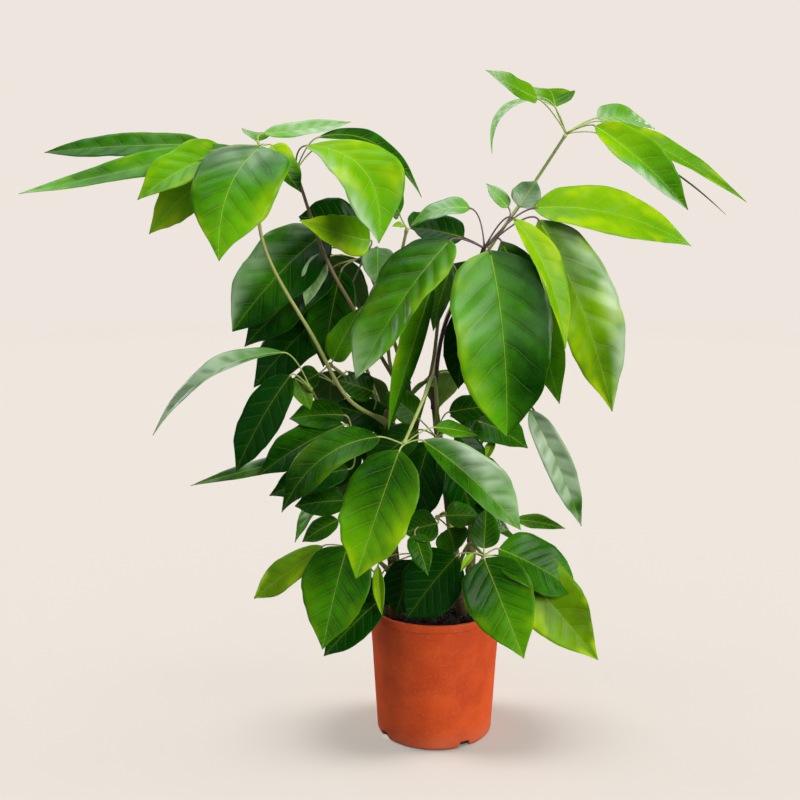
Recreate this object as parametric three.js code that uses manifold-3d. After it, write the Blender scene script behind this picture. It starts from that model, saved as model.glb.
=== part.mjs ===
// Potted umbrella plant: a tapered nursery pot, its soil, five leafy stems and their compound leaves.
// Millimetres, +Z up. The origin is the middle of the pot's underside, and the front is -Y.

import * as THREE from 'three';
import { mergeVertices } from 'three/addons/utils/BufferGeometryUtils.js';
import Module from 'manifold-3d';

const wasm = await Module();
wasm.setup();

// Driving dimensions
const GAP = 0.3;
const POT = { height: 188, rim: 95, foot: 81.4, footRound: 4, wall: 2.6, floor: 3, sides: 36 };
const LIP = { reach: 2.4, depth: 11, slope: 1.6, round: 1.6 };
const NOTCH = { count: 4, first: -60, width: 20, height: 9, depth: 14, slant: 3 };
const SOIL = { top: 172, crown: 3, crownShare: 0.6 };
const STEM = { radius: 7.5, topRadius: 4.6, sides: 8, steps: 4 };
const PETIOLE = { radius: 2.9, endRadius: 2.1, sides: 5, steps: 4 };
const STALKLET = { radius: 1.4, bend: 0.28, start: 1.5, middle: 0.55 };
const HUB_RADIUS = 5;
const SEARCH_ROUNDS = 24;
const BLADE = { thickness: 0.9, control: 0.42, wave: 0.022, tip: 1.2 };
// A leaflet whose row says nothing else has no sideways bow, two equal halves and a face turned half up
const STRAIGHT = { sway: 0, skew: 0, rise: 1 };

// Finishes
const PLASTIC = { color: 0xbf5230, roughness: 0.42, metalness: 0 };
const EARTH = { color: 0x2a2019, roughness: 0.95, metalness: 0 };
const BARK = { color: 0x6b6a3c, roughness: 0.7, metalness: 0 };
const LEAF = { color: 0x3f8a1c, roughness: 0.35, metalness: 0 };

// Half width of a leaflet, as a share of its greatest, at stations from its base to its tip
const OUTLINES = {
  oblong: [[0, 0.05], [0.06, 0.44], [0.16, 0.78], [0.4, 1], [0.62, 0.96], [0.78, 0.72], [0.9, 0.32], [1, 0]],
  ovate: [[0, 0.05], [0.06, 0.54], [0.16, 0.86], [0.36, 1], [0.6, 0.88], [0.76, 0.62], [0.9, 0.24], [1, 0]],
  obovate: [[0, 0.05], [0.06, 0.32], [0.16, 0.58], [0.42, 0.94], [0.62, 1], [0.78, 0.82], [0.9, 0.4], [1, 0]],
  lance: [[0, 0.06], [0.06, 0.38], [0.16, 0.7], [0.4, 1], [0.6, 0.88], [0.76, 0.62], [0.9, 0.28], [1, 0]],
  full: [[0, 0.05], [0.06, 0.5], [0.16, 0.84], [0.36, 1], [0.6, 0.94], [0.78, 0.75], [0.9, 0.41], [1, 0]],
};
// Places along the midrib where a leaflet below a width has its sections
const STATIONS = [
  { below: 43, places: [0, 0.2, 0.66, 1] },
  { below: 61, places: [0, 0.14, 0.46, 0.8, 1] },
  { below: 96, places: [0, 0.1, 0.36, 0.64, 0.86, 1] },
  { below: Infinity, places: [0, 0.07, 0.22, 0.46, 0.68, 0.87, 1] },
];

// Each stem runs through these points, from the bottom of its hole in the soil to its top
const STEMS = {
  stem_1: [[-55, -20, 112], [-62, -15, 300], [-68, -12, 470]],
  stem_2: [[0, 35, 112], [-20, 28, 300], [-40, 22, 505]],
  stem_3: [[45, -18, 112], [25, -14, 280], [-8, -4, 515]],
  stem_4: [[50, 38, 112], [54, 36, 300], [62, 62, 520]],
  stem_5: [[-45, 45, 112], [-62, 52, 300], [-70, 58, 445]],
};

// The compound leaves. A leaf's petiole leaves its stem at the height "from" and runs through the
// points "via" to its hub. Each leaflet is, in millimetres from the hub, the end of its stalklet
// and its tip, then its width, the compass direction in degrees that its face leans to, the rise
// of its arch as a share of its length, its fold in degrees, and its outline. The last entry, where
// there is one, holds its sideways bow as a share of its length, the share of its width that lies
// on one side more than on the other, and how far its face turns up.
const FRONDS = [
  { name: 'frond_a', stem: 'stem_3', from: 500, via: [[18, 22, 600], [74, 45, 685], [128, 48, 765]],
    hub: [170, 0, 840],
    leaflets: [
      [-40, -10, 45, -110, -50, 80, 42, -90, -0.04, 15, 'ovate'],
      [-30, 10, 45, -100, -30, -25, 13, -100, 0.1, 20, 'lance', { sway: 0.55 }],
      [-13, 20, 35, -12, 130, 60, 60, -90, 0.1, 15, 'oblong'],
      [35, -20, 10, 150, -70, -95, 62, -90, 0.12, 30, 'oblong'],
      [50, 15, 15, 245, 10, -90, 42, -60, 0.08, 20, 'lance'],
      [45, 30, 0, 230, 60, -110, 16, 0, 0.1, 20, 'lance'],
      [45, 35, 20, 135, 100, 5, 48, -90, 0.14, 15, 'ovate'],
    ] },
  { name: 'frond_b', stem: 'stem_3', from: 470, via: [[2, -25, 545], [14, -35, 600]],
    hub: [60, -60, 695],
    leaflets: [
      [-18, 20, 50, -96, 40, 25, 38, -80, 0.3, 15, 'ovate', { rise: 1.3 }],
      [33, 35, 50, 5, 60, 80, 21, -90, 0.12, 14, 'ovate', { rise: 0.5 }],
      [5, -30, 0, 26, -90, -230, 132, -98, 0.1, 20, 'full', { sway: -0.06 }],
      [35, -25, 40, 100, -70, -120, 54, -60, 0.12, 28, 'lance', { sway: -0.1 }],
      [70, 0, 36, 169, -25, -212, 98, -80, 0.16, 14, 'oblong', { skew: -0.1 }],
      [65, 20, 50, 275, 30, 0, 84, -70, 0.22, 14, 'oblong'],
      [-25, 40, 10, -95, 80, 20, 50, -120, 0.1, 14, 'ovate'],
      [-45, -20, 12, -165, -90, -155, 102, -126, 0.16, 20, 'full', { sway: -0.06, skew: 0.04 }],
      [25, 40, 5, 110, 60, -220, 70, -90, 0.14, 14, 'oblong'],
      [47, 30, 51, 72, 60, 84, 40, -90, 0.1, 14, 'ovate', { rise: 0.5 }],
    ] },
  { name: 'frond_c', stem: 'stem_1', from: 452, via: [[-118, -40, 490], [-163, -40, 571], [-230, -40, 704]],
    hub: [-230, -40, 825],
    leaflets: [
      [5, -35, 0, -40, -130, -135, 116, -90, 0.1, 12, 'ovate', { sway: 0.2, skew: -0.14 }],
      [-38, -6, 0, -310, -20, -60, 48, -90, -0.01, 12, 'lance', { rise: 1.3 }],
      [-75, 30, 0, -295, 60, -10, 44, -100, 0.05, 14, 'full'],
      [-40, 2, -8, -152, -50, -66, 72, -100, 0.17, 20, 'oblong'],
      [-62, 4, -34, -149, 4, -114, 74, -90, 0.12, 12, 'ovate'],
      [-8, 40, 5, -25, 180, 12, 44, 90, 0.1, 14, 'lance'],
      [14, 12, 0, 52, 4, -60, 46, -70, 0.24, 26, 'ovate', { sway: 0.25 }],
      [0, 40, 15, 115, 70, 30, 28, -60, -0.03, 14, 'oblong'],
    ] },
  { name: 'frond_d', stem: 'stem_2', from: 470, via: [[-113, -12, 610], [-149, -12, 679]],
    hub: [-190, 30, 790],
    leaflets: [
      [20, -50, 35, 114, -130, -85, 92, -80, 0.2, 16, 'obovate', { sway: -0.42 }],
      [32, -18, 45, 170, 0, -35, 36, -50, 0.2, 14, 'oblong', { sway: -0.38 }],
      [36, 34, 30, 112, 90, -40, 50, -60, 0.2, 14, 'ovate'],
      [-30, 40, 8, -75, 110, 12, 46, 120, 0.1, 14, 'ovate'],
    ] },
  { name: 'frond_e', stem: 'stem_2', from: 498, via: [[-55, 32, 548], [-72, 50, 600]],
    hub: [-100, 60, 670],
    leaflets: [
      [-50, -24, 38, -178, -56, -95, 108, -100, 0.14, 10, 'full', { skew: 0.06 }],
      [-40, -20, -10, -165, -30, -120, 84, -100, 0.12, 14, 'oblong'],
      [-30, -30, -15, -55, -50, -145, 68, -100, 0.1, 14, 'oblong'],
      [-54, -50, 11, -77, -68, -58, 36, -100, 0.1, 20, 'lance', { rise: 0.4 }],
      [20, -10, 15, 20, -50, -35, 46, -90, 0.1, 14, 'ovate'],
      [10, -40, 28, -80, -110, 60, 56, -90, 0.14, 16, 'ovate', { sway: -0.1, rise: 0.4 }],
      [-5, 10, 35, -91, 20, 55, 70, -90, 0.28, 14, 'oblong', { rise: 0.5 }],
      [-35, -10, -60, -155, -20, -180, 88, -100, 0.12, 14, 'oblong'],
    ] },
  { name: 'frond_f', stem: 'stem_2', from: 445, via: [[-62, 50, 515], [-66, 60, 560], [-55, 64, 640]],
    hub: [-40, 60, 710],
    leaflets: [
      [-5, -5, 5, -20, -15, 5, 12, -90, 0.1, 20, 'ovate'],
      [-10, 0, 20, -30, -20, 60, 50, -60, 0.1, 14, 'ovate'],
      [5, 10, 0, 45, 50, 10, 40, -60, 0.1, 14, 'ovate'],
    ] },
  { name: 'frond_g', stem: 'stem_2', from: 420, via: [[-5, 30, 520], [5, 25, 600]], hub: [20, 0, 670],
    leaflets: [
      [-25, -20, -25, -85, -70, -215, 48, -95, 0.05, 44, 'lance'],
      [0, -5, -5, -25, -20, -90, 42, -130, 0.08, 14, 'lance'],
      [22, 26, -64, 12, 30, -180, 54, -90, 0.06, 14, 'oblong'],
    ] },
  { name: 'frond_h', stem: 'stem_3', from: 440, via: [[-5, -60, 525], [-20, -115, 505]],
    hub: [-45, -150, 455],
    leaflets: [
      [-30, 0, 10, -155, -15, -85, 62, -115, 0.46, 14, 'oblong'],
      [-5, -10, -5, -60, -55, -160, 94, -90, 0.08, 14, 'oblong'],
      [25, 0, 5, 150, -10, -110, 62, -85, 0.16, 22, 'obovate', { skew: -0.16 }],
      [40, 10, 20, 95, 30, 5, 26, -60, 0.1, 14, 'lance'],
    ] },
  { name: 'frond_i', stem: 'stem_3', from: 240, via: [[45, -80, 300]], hub: [60, -130, 300],
    leaflets: [
      [0, -10, 0, 50, -55, -120, 92, -105, 0.08, 14, 'ovate'],
      [20, 5, 8, 122, 0, -48, 80, -80, 0.13, 14, 'full'],
      [34, 10, -8, 151, -20, -137, 92, -105, 0.12, 14, 'ovate'],
      [0, 0, 10, 5, 35, 55, 42, -90, 0.1, 20, 'ovate'],
      [-35, 15, -5, -100, 10, -90, 88, -100, 0.1, 14, 'oblong'],
      [-14, -8, 6, -31, -16, -16, 11, -90, 0.25, 30, 'lance'],
      [-21, -4, -42, -17, -8, -80, 14, -100, 0.08, 30, 'lance'],
    ] },
  { name: 'frond_j', stem: 'stem_1', from: 235, via: [[-95, -40, 275]], hub: [-125, -60, 290],
    leaflets: [
      [-30, 0, 0, -125, 0, -75, 48, -100, 0.02, 14, 'obovate'],
      [5, -15, 5, -28, -62, -124, 96, -100, 0.1, 12, 'ovate'],
      [52, -4, -72, -28, -34, -145, 56, -100, 0.1, 14, 'oblong'],
    ] },
  { name: 'frond_k', stem: 'stem_5', from: 400, via: [[-112, 36, 432], [-158, 10, 472]],
    hub: [-170, -40, 505],
    leaflets: [
      [-35, -5, 50, -210, -20, -60, 38, -135, 0.32, 20, 'lance', { skew: 0.2 }],
      [-25, -10, 20, -100, -20, -110, 62, -95, 0.14, 14, 'oblong'],
      [-20, 10, 10, 0, 5, -30, 30, -80, 0.1, 14, 'lance'],
    ] },
  { name: 'frond_t', stem: 'stem_5', from: 425, via: [[-115, 20, 500]], hub: [-145, -20, 535],
    leaflets: [
      [5, -5, 5, 45, -10, 80, 42, -90, 0.1, 14, 'ovate'],
      [-15, 10, -15, -55, 20, -45, 42, -90, 0.1, 14, 'ovate'],
    ] },
  { name: 'frond_l', stem: 'stem_1', from: 370, via: [[-92, -18, 415]], hub: [-115, -20, 435],
    leaflets: [
      [-30, -15, -20, -220, -20, -65, 28, -100, 0.05, 14, 'lance'],
      [-10, -20, 20, -125, -40, -45, 62, -100, 0.14, 14, 'oblong'],
      [-10, -5, 30, -85, -5, 25, 50, -60, 0.12, 14, 'oblong'],
      [-5, 10, -50, -115, 0, -85, 56, -100, 0.16, 14, 'oblong'],
    ] },
  { name: 'frond_m', stem: 'stem_5', from: 290, via: [[-92, 28, 325]], hub: [-115, 0, 340],
    leaflets: [
      [-10, -10, 0, -80, -20, -5, 50, -60, 0.1, 14, 'oblong'],
      [-20, -20, -25, -70, -25, -55, 34, -100, 0.12, 14, 'oblong'],
    ] },
  { name: 'frond_n', stem: 'stem_4', from: 385, via: [[70, 28, 425]], hub: [80, 20, 440],
    leaflets: [
      [50, -10, 25, 125, -20, -140, 42, -100, 0.22, 20, 'oblong'],
      [-1, -40, -12, -16, -50, -41, 15, -90, 0.2, 25, 'lance'],
      [-25, -10, 10, 45, -50, -20, 64, -80, 0.16, 14, 'ovate'],
      [-20, -20, 10, -62, -50, 25, 50, -100, 0.1, 14, 'ovate'],
    ] },
  { name: 'frond_p', stem: 'stem_4', from: 255, via: [[76, 40, 290]], hub: [95, 40, 300],
    leaflets: [
      [20, -10, 0, 90, -20, -10, 26, -60, 0.1, 14, 'lance'],
      [10, -10, -15, -5, -40, -10, 40, -60, 0.1, 14, 'ovate'],
    ] },
  { name: 'frond_q', stem: 'stem_3', from: 385, via: [[-2, -35, 425]], hub: [0, -50, 440],
    leaflets: [
      [-10, -5, -5, -42, -10, -125, 80, -95, 0.08, 14, 'oblong'],
      [15, -3, -5, 48, 6, -108, 72, -85, 0.08, 14, 'oblong'],
      [-25, 8, 8, -100, 15, -60, 64, -110, 0.12, 14, 'oblong'],
      [26, -6, 10, 62, -10, -46, 40, -75, 0.1, 14, 'oblong'],
      [-24, -2, 26, -68, 4, 62, 42, -100, 0.1, 14, 'oblong', { rise: 0.6 }],
      [16, -4, 36, 84, 0, 44, 38, -80, 0.1, 14, 'oblong', { rise: 0.6 }],
    ] },
  { name: 'frond_r', stem: 'stem_2', from: 235, via: [[-22, -20, 272]], hub: [-25, -60, 280],
    leaflets: [
      [-8, -10, -6, -30, -22, -82, 60, -100, 0.08, 14, 'oblong'],
      [10, -5, -6, 30, -12, -88, 66, -85, 0.08, 14, 'oblong'],
      [20, 8, 4, 58, 16, -62, 42, -80, 0.1, 14, 'oblong'],
      [-54, -22, -10, -49, -28, -79, 20, -110, 0.06, 30, 'lance'],
      [-50, 14, -38, -56, 18, -86, 46, -95, 0.06, 14, 'oblong'],
    ] },
  { name: 'frond_u', stem: 'stem_5', from: 375, via: [[-86, 36, 415]], hub: [-95, 20, 440],
    leaflets: [
      [-14, 0, -6, -62, 4, -95, 70, -95, 0.08, 14, 'oblong'],
      [12, -4, -8, 30, -8, -95, 60, -85, 0.08, 14, 'oblong'],
      [37, -8, 6, -50, -18, 34, 50, -90, 0.03, 8, 'oblong', { rise: 0.8 }],
      [8, -16, 52, -40, -26, 70, 44, -95, 0.1, 14, 'ovate', { rise: 0.6 }],
    ] },
  { name: 'frond_v', stem: 'stem_4', from: 335, via: [[66, 8, 380]], hub: [60, -14, 400],
    leaflets: [
      [4, -6, -5, 22, -14, -78, 40, -80, 0.08, 14, 'oblong'],
      [-10, -4, -8, -8, -8, -88, 56, -95, 0.08, 14, 'oblong'],
    ] },
  { name: 'frond_s', stem: 'stem_3', from: 290, via: [[12, -55, 335]], hub: [0, -90, 340],
    leaflets: [
      [15, 0, -15, 25, 5, -50, 50, -90, 0.1, 14, 'ovate'],
      [0, -10, -5, -45, -20, -15, 50, -70, 0.1, 14, 'oblong'],
      [12, -4, 4, 58, 4, 0, 42, -70, 0.1, 14, 'ovate'],
      [-30, -25, -15, -13, -60, -60, 32, -90, 0.06, 14, 'ovate'],
    ] },
];

// The leaves at the back. Their leaflets spread evenly over an arc of compass directions.
const BACK_FRONDS = [
  { name: 'frond_back_1', stem: 'stem_4', from: 505, via: [[80, 120, 590]], hub: [95, 185, 640],
    whorl: { count: 4, start: -30, end: 140, reach: 160, droop: 95, width: 80 } },
  { name: 'frond_back_2', stem: 'stem_5', from: 435, via: [[-120, 110, 560]], hub: [-175, 165, 650],
    whorl: { count: 4, start: 20, end: 135, reach: 150, droop: 90, width: 72 } },
  { name: 'frond_back_3', stem: 'stem_5', from: 395, via: [[-100, 110, 450]], hub: [-150, 175, 470],
    whorl: { count: 4, start: 50, end: 190, reach: 125, droop: 90, width: 64 } },
  { name: 'frond_back_4', stem: 'stem_4', from: 395, via: [[60, 110, 445]], hub: [50, 185, 470],
    whorl: { count: 4, start: 0, end: 165, reach: 120, droop: 85, width: 68 } },
  { name: 'frond_back_5', stem: 'stem_5', from: 260, via: [[-80, 110, 310]], hub: [-95, 165, 320],
    whorl: { count: 4, start: 75, end: 200, reach: 120, droop: 85, width: 62 } },
  { name: 'frond_back_6', stem: 'stem_4', from: 270, via: [[70, 90, 320]], hub: [45, 150, 345],
    whorl: { count: 4, start: 60, end: 150, reach: 95, droop: 85, width: 58 } },
];
const WHORL = { stalk: 38, lift: 0.3, shortest: 0.84, arch: 0.16, fold: 14 };

/** The leaflets of a leaf that spreads evenly over an arc, every third one shorter. */
function whorlLeaflets({ count, start, end, reach, droop, width }) {
  return Array.from({ length: count }, (_, index) => {
    const compass = start + ((end - start) * index) / (count - 1);
    const angle = THREE.MathUtils.degToRad(compass);
    const share = index % 3 === 1 ? WHORL.shortest : 1;
    const along = [Math.cos(angle), Math.sin(angle)];
    const base = [...along.map((value) => value * WHORL.stalk), WHORL.stalk * WHORL.lift];
    const tip = [...along.map((value) => value * reach * share), -droop * (index % 2 ? 1 : WHORL.shortest)];
    const outline = index % 2 ? 'oblong' : 'ovate';
    return [...base, ...tip, width * share, compass, WHORL.arch, WHORL.fold, outline];
  });
}

/** A solid from points and triangles. */
function solid(points, triangles) {
  const geometry = new THREE.BufferGeometry();
  const flat = points.flatMap((point) => [point.x, point.y, point.z]);
  geometry.setAttribute('position', new THREE.Float32BufferAttribute(flat, 3));
  geometry.setIndex(triangles.flat());
  return solidFrom(geometry);
}

/** A solid from a closed three.js geometry. */
function solidFrom(geometry) {
  const bare = geometry.clone();
  bare.deleteAttribute('normal');
  bare.deleteAttribute('uv');
  const merged = mergeVertices(bare, 1e-4);
  const vertProperties = new Float32Array(merged.attributes.position.array);
  const triVerts = new Uint32Array(merged.index.array);
  return new wasm.Manifold(new wasm.Mesh({ numProp: 3, vertProperties, triVerts }));
}

/** A named mesh from a solid, in the given finish. */
function meshOf(shape, name, finish) {
  const { vertProperties, triVerts } = shape.getMesh();
  const geometry = new THREE.BufferGeometry();
  geometry.setAttribute('position', new THREE.Float32BufferAttribute(vertProperties, 3));
  geometry.setIndex(new THREE.BufferAttribute(new Uint32Array(triVerts), 1));
  geometry.computeVertexNormals();
  const mesh = new THREE.Mesh(geometry, new THREE.MeshStandardMaterial(finish));
  mesh.name = name;
  return mesh;
}

/** A closed round rod along a curve, its radius running evenly from one end to the other. */
function rod(curve, startRadius, endRadius, sides, steps) {
  const frames = curve.computeFrenetFrames(steps, false);
  const points = [];
  for (let step = 0; step <= steps; step += 1) {
    const centre = curve.getPointAt(step / steps);
    const radius = THREE.MathUtils.lerp(startRadius, endRadius, step / steps);
    for (let side = 0; side < sides; side += 1) {
      const angle = (2 * Math.PI * side) / sides;
      points.push(centre.clone()
        .addScaledVector(frames.normals[step], radius * Math.cos(angle))
        .addScaledVector(frames.binormals[step], radius * Math.sin(angle)));
    }
  }
  const triangles = [];
  for (let step = 0; step < steps; step += 1) {
    for (let side = 0; side < sides; side += 1) {
      const next = (side + 1) % sides;
      const [a, b] = [step * sides + side, step * sides + next];
      triangles.push([a, b, a + sides], [b, b + sides, a + sides]);
    }
  }
  const last = steps * sides;
  for (let side = 1; side < sides - 1; side += 1) {
    triangles.push([0, side + 1, side], [last, last + side, last + side + 1]);
  }
  return solid(points, triangles);
}

/** Half width of an outline at a place from 0 at the base to 1 at the tip. */
function halfWidth(outline, place) {
  const stations = OUTLINES[outline];
  const next = Math.max(1, stations.findIndex(([at]) => at >= place));
  const [[from, low], [to, high]] = [stations[next - 1], stations[next]];
  return THREE.MathUtils.lerp(low, high, (place - from) / (to - from));
}

/** The arched midrib of a leaflet as a curve, with the level direction across its blade. */
function midrib(base, tip, facing, arch, sway, rise) {
  const chord = tip.clone().sub(base);
  const along = chord.clone().normalize();
  const angle = THREE.MathUtils.degToRad(facing);
  const face = new THREE.Vector3(Math.cos(angle), Math.sin(angle), rise).projectOnPlane(along).normalize();
  const across = new THREE.Vector3().crossVectors(along, face);
  const control = base.clone().addScaledVector(chord, BLADE.control)
    .addScaledVector(face, arch * chord.length())
    .addScaledVector(across, sway * chord.length());
  return {
    curve: new THREE.QuadraticBezierCurve3(base, control, tip),
    across,
    start: control.clone().sub(base).normalize(),
  };
}

/** Six points round a leaflet's stalklet or blade, in order round it, beginning at the left above. */
function section(centre, across, face, reach, lift, depth, skew = 0) {
  const spot = (side, rise) =>
    centre.clone().addScaledVector(across, side * reach * (1 + skew * side)).addScaledVector(face, rise);
  return [spot(-1, lift + depth), spot(0, depth), spot(1, lift + depth),
    spot(1, lift - depth), spot(0, -depth), spot(-1, lift - depth)];
}

/** A closed skin over sections of six points, its upper and under side split alike. */
function skin(sections) {
  const triangles = [];
  for (let s = 0; s < sections.length - 1; s += 1) {
    for (let side = 0; side < 6; side += 1) {
      const [a, b] = [s * 6 + side, s * 6 + ((side + 1) % 6)];
      const [c, d] = [b + 6, a + 6];
      if (side === 3 || side === 4) triangles.push([a, b, c], [a, c, d]);
      else triangles.push([a, b, d], [b, c, d]);
    }
  }
  const last = (sections.length - 1) * 6;
  for (const [a, b, c, d] of [[0, 5, 4, 1], [1, 4, 3, 2]]) {
    triangles.push([a, b, c], [a, c, d]);
    triangles.push([last + a, last + c, last + b], [last + a, last + d, last + c]);
  }
  return solid(sections.flat(), triangles);
}

/** A leaflet: a stalklet from the hub of its leaf that widens into a folded blade with waved edges. */
function leaflet([bx, by, bz, tx, ty, tz, width, facing, arch, fold, outline, shape = {}]) {
  const base = new THREE.Vector3(bx, by, bz);
  const { sway, skew, rise } = { ...STRAIGHT, ...shape };
  const { curve, across, start } = midrib(base, new THREE.Vector3(tx, ty, tz), facing, arch, sway, rise);
  const reach = base.length();
  const bend = base.clone().addScaledVector(start, -reach * STALKLET.bend);
  const stalk = new THREE.QuadraticBezierCurve3(new THREE.Vector3(), bend, base);
  const sections = [STALKLET.start / reach, STALKLET.middle].map((place) => {
    const along = stalk.getTangent(place);
    const level = across.clone().projectOnPlane(along).normalize();
    const face = new THREE.Vector3().crossVectors(level, along);
    const depth = STALKLET.radius / 2;
    const ring = section(stalk.getPoint(place), level, face, STALKLET.radius, 0, STALKLET.radius);
    for (const index of [0, 2]) ring[index].addScaledVector(face, -depth);
    for (const index of [3, 5]) ring[index].addScaledVector(face, depth);
    return ring;
  });
  const angle = THREE.MathUtils.degToRad(fold);
  const stations = STATIONS.find((row) => width < row.below).places;
  stations.forEach((place, index) => {
    const face = new THREE.Vector3().crossVectors(across, curve.getTangent(place)).normalize();
    const half = Math.max((halfWidth(outline, place) * width) / 2, BLADE.tip / 2);
    const wave = index > 1 && index < stations.length - 1 ? BLADE.wave * width * (index % 2 ? 1 : -1) : 0;
    const lift = half * Math.sin(angle) + wave;
    const reachAcross = half * Math.cos(angle);
    sections.push(section(curve.getPoint(place), across, face, reachAcross, lift, BLADE.thickness / 2, skew));
  });
  return skin(sections);
}

/** The point of a stem's axis at a height. */
function stemPoint(curve, height) {
  let [low, high] = [0, 1];
  for (let round = 0; round < SEARCH_ROUNDS; round += 1) {
    const middle = (low + high) / 2;
    if (curve.getPoint(middle).z < height) low = middle;
    else high = middle;
  }
  return curve.getPoint(low);
}

/** A whole compound leaf, measured from its hub: its petiole, seated on its stem, and its leaflets. */
function frond({ stem, from, via, hub, leaflets }, stemCurve, stemRoom) {
  const home = new THREE.Vector3(...hub);
  const route = [stemPoint(stemCurve, from), ...via.map((point) => new THREE.Vector3(...point)), home];
  const petiole = rod(new THREE.CatmullRomCurve3(route.map((point) => point.clone().sub(home))),
    PETIOLE.radius, PETIOLE.endRadius, PETIOLE.sides, PETIOLE.steps);
  const knob = solidFrom(new THREE.OctahedronGeometry(HUB_RADIUS, 0));
  const whole = leaflets.reduce((shape, row) => shape.add(leaflet(row)), petiole.add(knob));
  return whole.subtract(stemRoom.translate(home.negate().toArray()));
}

/** The outer radius of the pot's wall at a height. */
function wallRadius(height) {
  return THREE.MathUtils.lerp(POT.foot, POT.rim - LIP.reach, height / POT.height);
}

/** A solid turned on a lathe from its profile of radius and height. */
function turned(profile) {
  const points = profile.map(([radius, height]) => new THREE.Vector2(radius, height));
  return solidFrom(new THREE.LatheGeometry(points, POT.sides).rotateX(Math.PI / 2));
}

/** The pot: a tapered wall with a rolled lip, a flat floor and notches at its foot for the water. */
function pot() {
  const inside = (height) => wallRadius(height) - POT.wall;
  const cut = 1 - Math.SQRT1_2;
  const [round, lipFoot, top] = [LIP.round, POT.height - LIP.depth, POT.height];
  const shell = turned([
    [0, 0], [POT.foot - POT.footRound, 0], [POT.foot - POT.footRound * cut, POT.footRound * cut],
    [wallRadius(POT.footRound), POT.footRound], [wallRadius(lipFoot), lipFoot],
    [POT.rim, lipFoot + LIP.slope], [POT.rim, top - round],
    [POT.rim - round * cut, top - round * cut], [POT.rim - round, top],
    [inside(top) + round, top], [inside(top), top - round],
    [inside(POT.floor), POT.floor], [0, POT.floor],
  ]);
  const [half, shoulder] = [NOTCH.width / 2, NOTCH.width / 2 - NOTCH.slant];
  const cutter = new THREE.Shape();
  cutter.moveTo(-half, -GAP).lineTo(half, -GAP);
  cutter.lineTo(shoulder, NOTCH.height).lineTo(-shoulder, NOTCH.height);
  const slot = new THREE.ExtrudeGeometry(cutter, { depth: NOTCH.depth * 2, bevelEnabled: false })
    .rotateX(Math.PI / 2).translate(0, NOTCH.depth - POT.foot, 0);
  const turns = Array.from({ length: NOTCH.count }, (_, index) => NOTCH.first + (360 * index) / NOTCH.count);
  return turns.reduce((shape, turn) =>
    shape.subtract(solidFrom(slot.clone().rotateZ(THREE.MathUtils.degToRad(turn)))), shell);
}

/** The soil that fills the pot, with a plain hole for each stem. */
function soil(stemRooms) {
  const reach = (height) => wallRadius(height) - POT.wall - GAP;
  const bottom = POT.floor + GAP;
  const body = turned([
    [0, bottom], [reach(bottom), bottom], [reach(SOIL.top), SOIL.top],
    [reach(SOIL.top) * SOIL.crownShare, SOIL.top + SOIL.crown], [0, SOIL.top + SOIL.crown],
  ]);
  return Object.values(stemRooms).reduce((shape, room) => shape.subtract(room), body);
}

/** The axis of a stem, reaching beyond both of its ends by a gap. */
function stemCurve(name, gap) {
  const points = STEMS[name].map((point) => new THREE.Vector3(...point));
  points[0].z -= gap;
  points.at(-1).z += gap;
  return new THREE.CatmullRomCurve3(points);
}

/** A stem, or the room that it needs with a gap round it. */
function stem(name, gap) {
  return rod(stemCurve(name, gap), STEM.radius + gap, STEM.topRadius + gap, STEM.sides, STEM.steps);
}

const rooms = Object.fromEntries(Object.keys(STEMS).map((name) => [name, stem(name, GAP)]));

const holder = new THREE.Group();
holder.add(meshOf(pot(), 'pot', PLASTIC));
holder.add(meshOf(soil(rooms), 'soil', EARTH));

const stems = new THREE.Group();
for (const [name, [foot]] of Object.entries(STEMS)) {
  const fromFoot = stem(name, 0).translate(foot.map((value) => -value));
  const mesh = meshOf(fromFoot, name, BARK);
  mesh.position.set(...foot);
  stems.add(mesh);
}

const leaves = new THREE.Group();
for (const leaf of [...FRONDS, ...BACK_FRONDS]) {
  const leaflets = leaf.leaflets ?? whorlLeaflets(leaf.whorl);
  const whole = frond({ ...leaf, leaflets }, stemCurve(leaf.stem, 0), rooms[leaf.stem]);
  const mesh = meshOf(whole, leaf.name, LEAF);
  mesh.position.set(...leaf.hub);
  leaves.add(mesh);
}

const plant = new THREE.Group();
plant.add(holder, stems, leaves);

export default plant;
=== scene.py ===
"""A potted umbrella plant: its leaves, stems, soil and pot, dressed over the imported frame.

Everything here is in metres, apart from the points and sizes of stems, fronds and blades, which are
in millimetres. The frame has +Z up, its origin is the middle of the pot's underside, and the plant
is seen from -Y. A compound leaf is called a frond, and each of its leaflets is a blade on a stalklet.
"""

import logging
import math
from dataclasses import dataclass, field
from enum import Enum, IntEnum

import bpy
import numpy as np
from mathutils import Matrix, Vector


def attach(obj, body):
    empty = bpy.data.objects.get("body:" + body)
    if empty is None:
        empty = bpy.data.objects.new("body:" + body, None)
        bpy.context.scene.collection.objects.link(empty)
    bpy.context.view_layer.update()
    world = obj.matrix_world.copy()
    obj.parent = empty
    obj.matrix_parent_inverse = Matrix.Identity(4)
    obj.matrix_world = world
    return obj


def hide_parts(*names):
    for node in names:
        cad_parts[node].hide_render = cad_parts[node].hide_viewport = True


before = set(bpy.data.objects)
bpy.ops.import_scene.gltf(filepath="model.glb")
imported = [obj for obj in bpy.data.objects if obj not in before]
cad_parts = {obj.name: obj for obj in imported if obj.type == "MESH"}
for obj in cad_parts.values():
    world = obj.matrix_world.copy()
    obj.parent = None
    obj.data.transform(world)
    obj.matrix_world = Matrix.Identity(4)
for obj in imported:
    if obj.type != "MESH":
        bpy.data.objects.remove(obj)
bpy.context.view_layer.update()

log = logging.getLogger("umbrella_plant")

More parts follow.
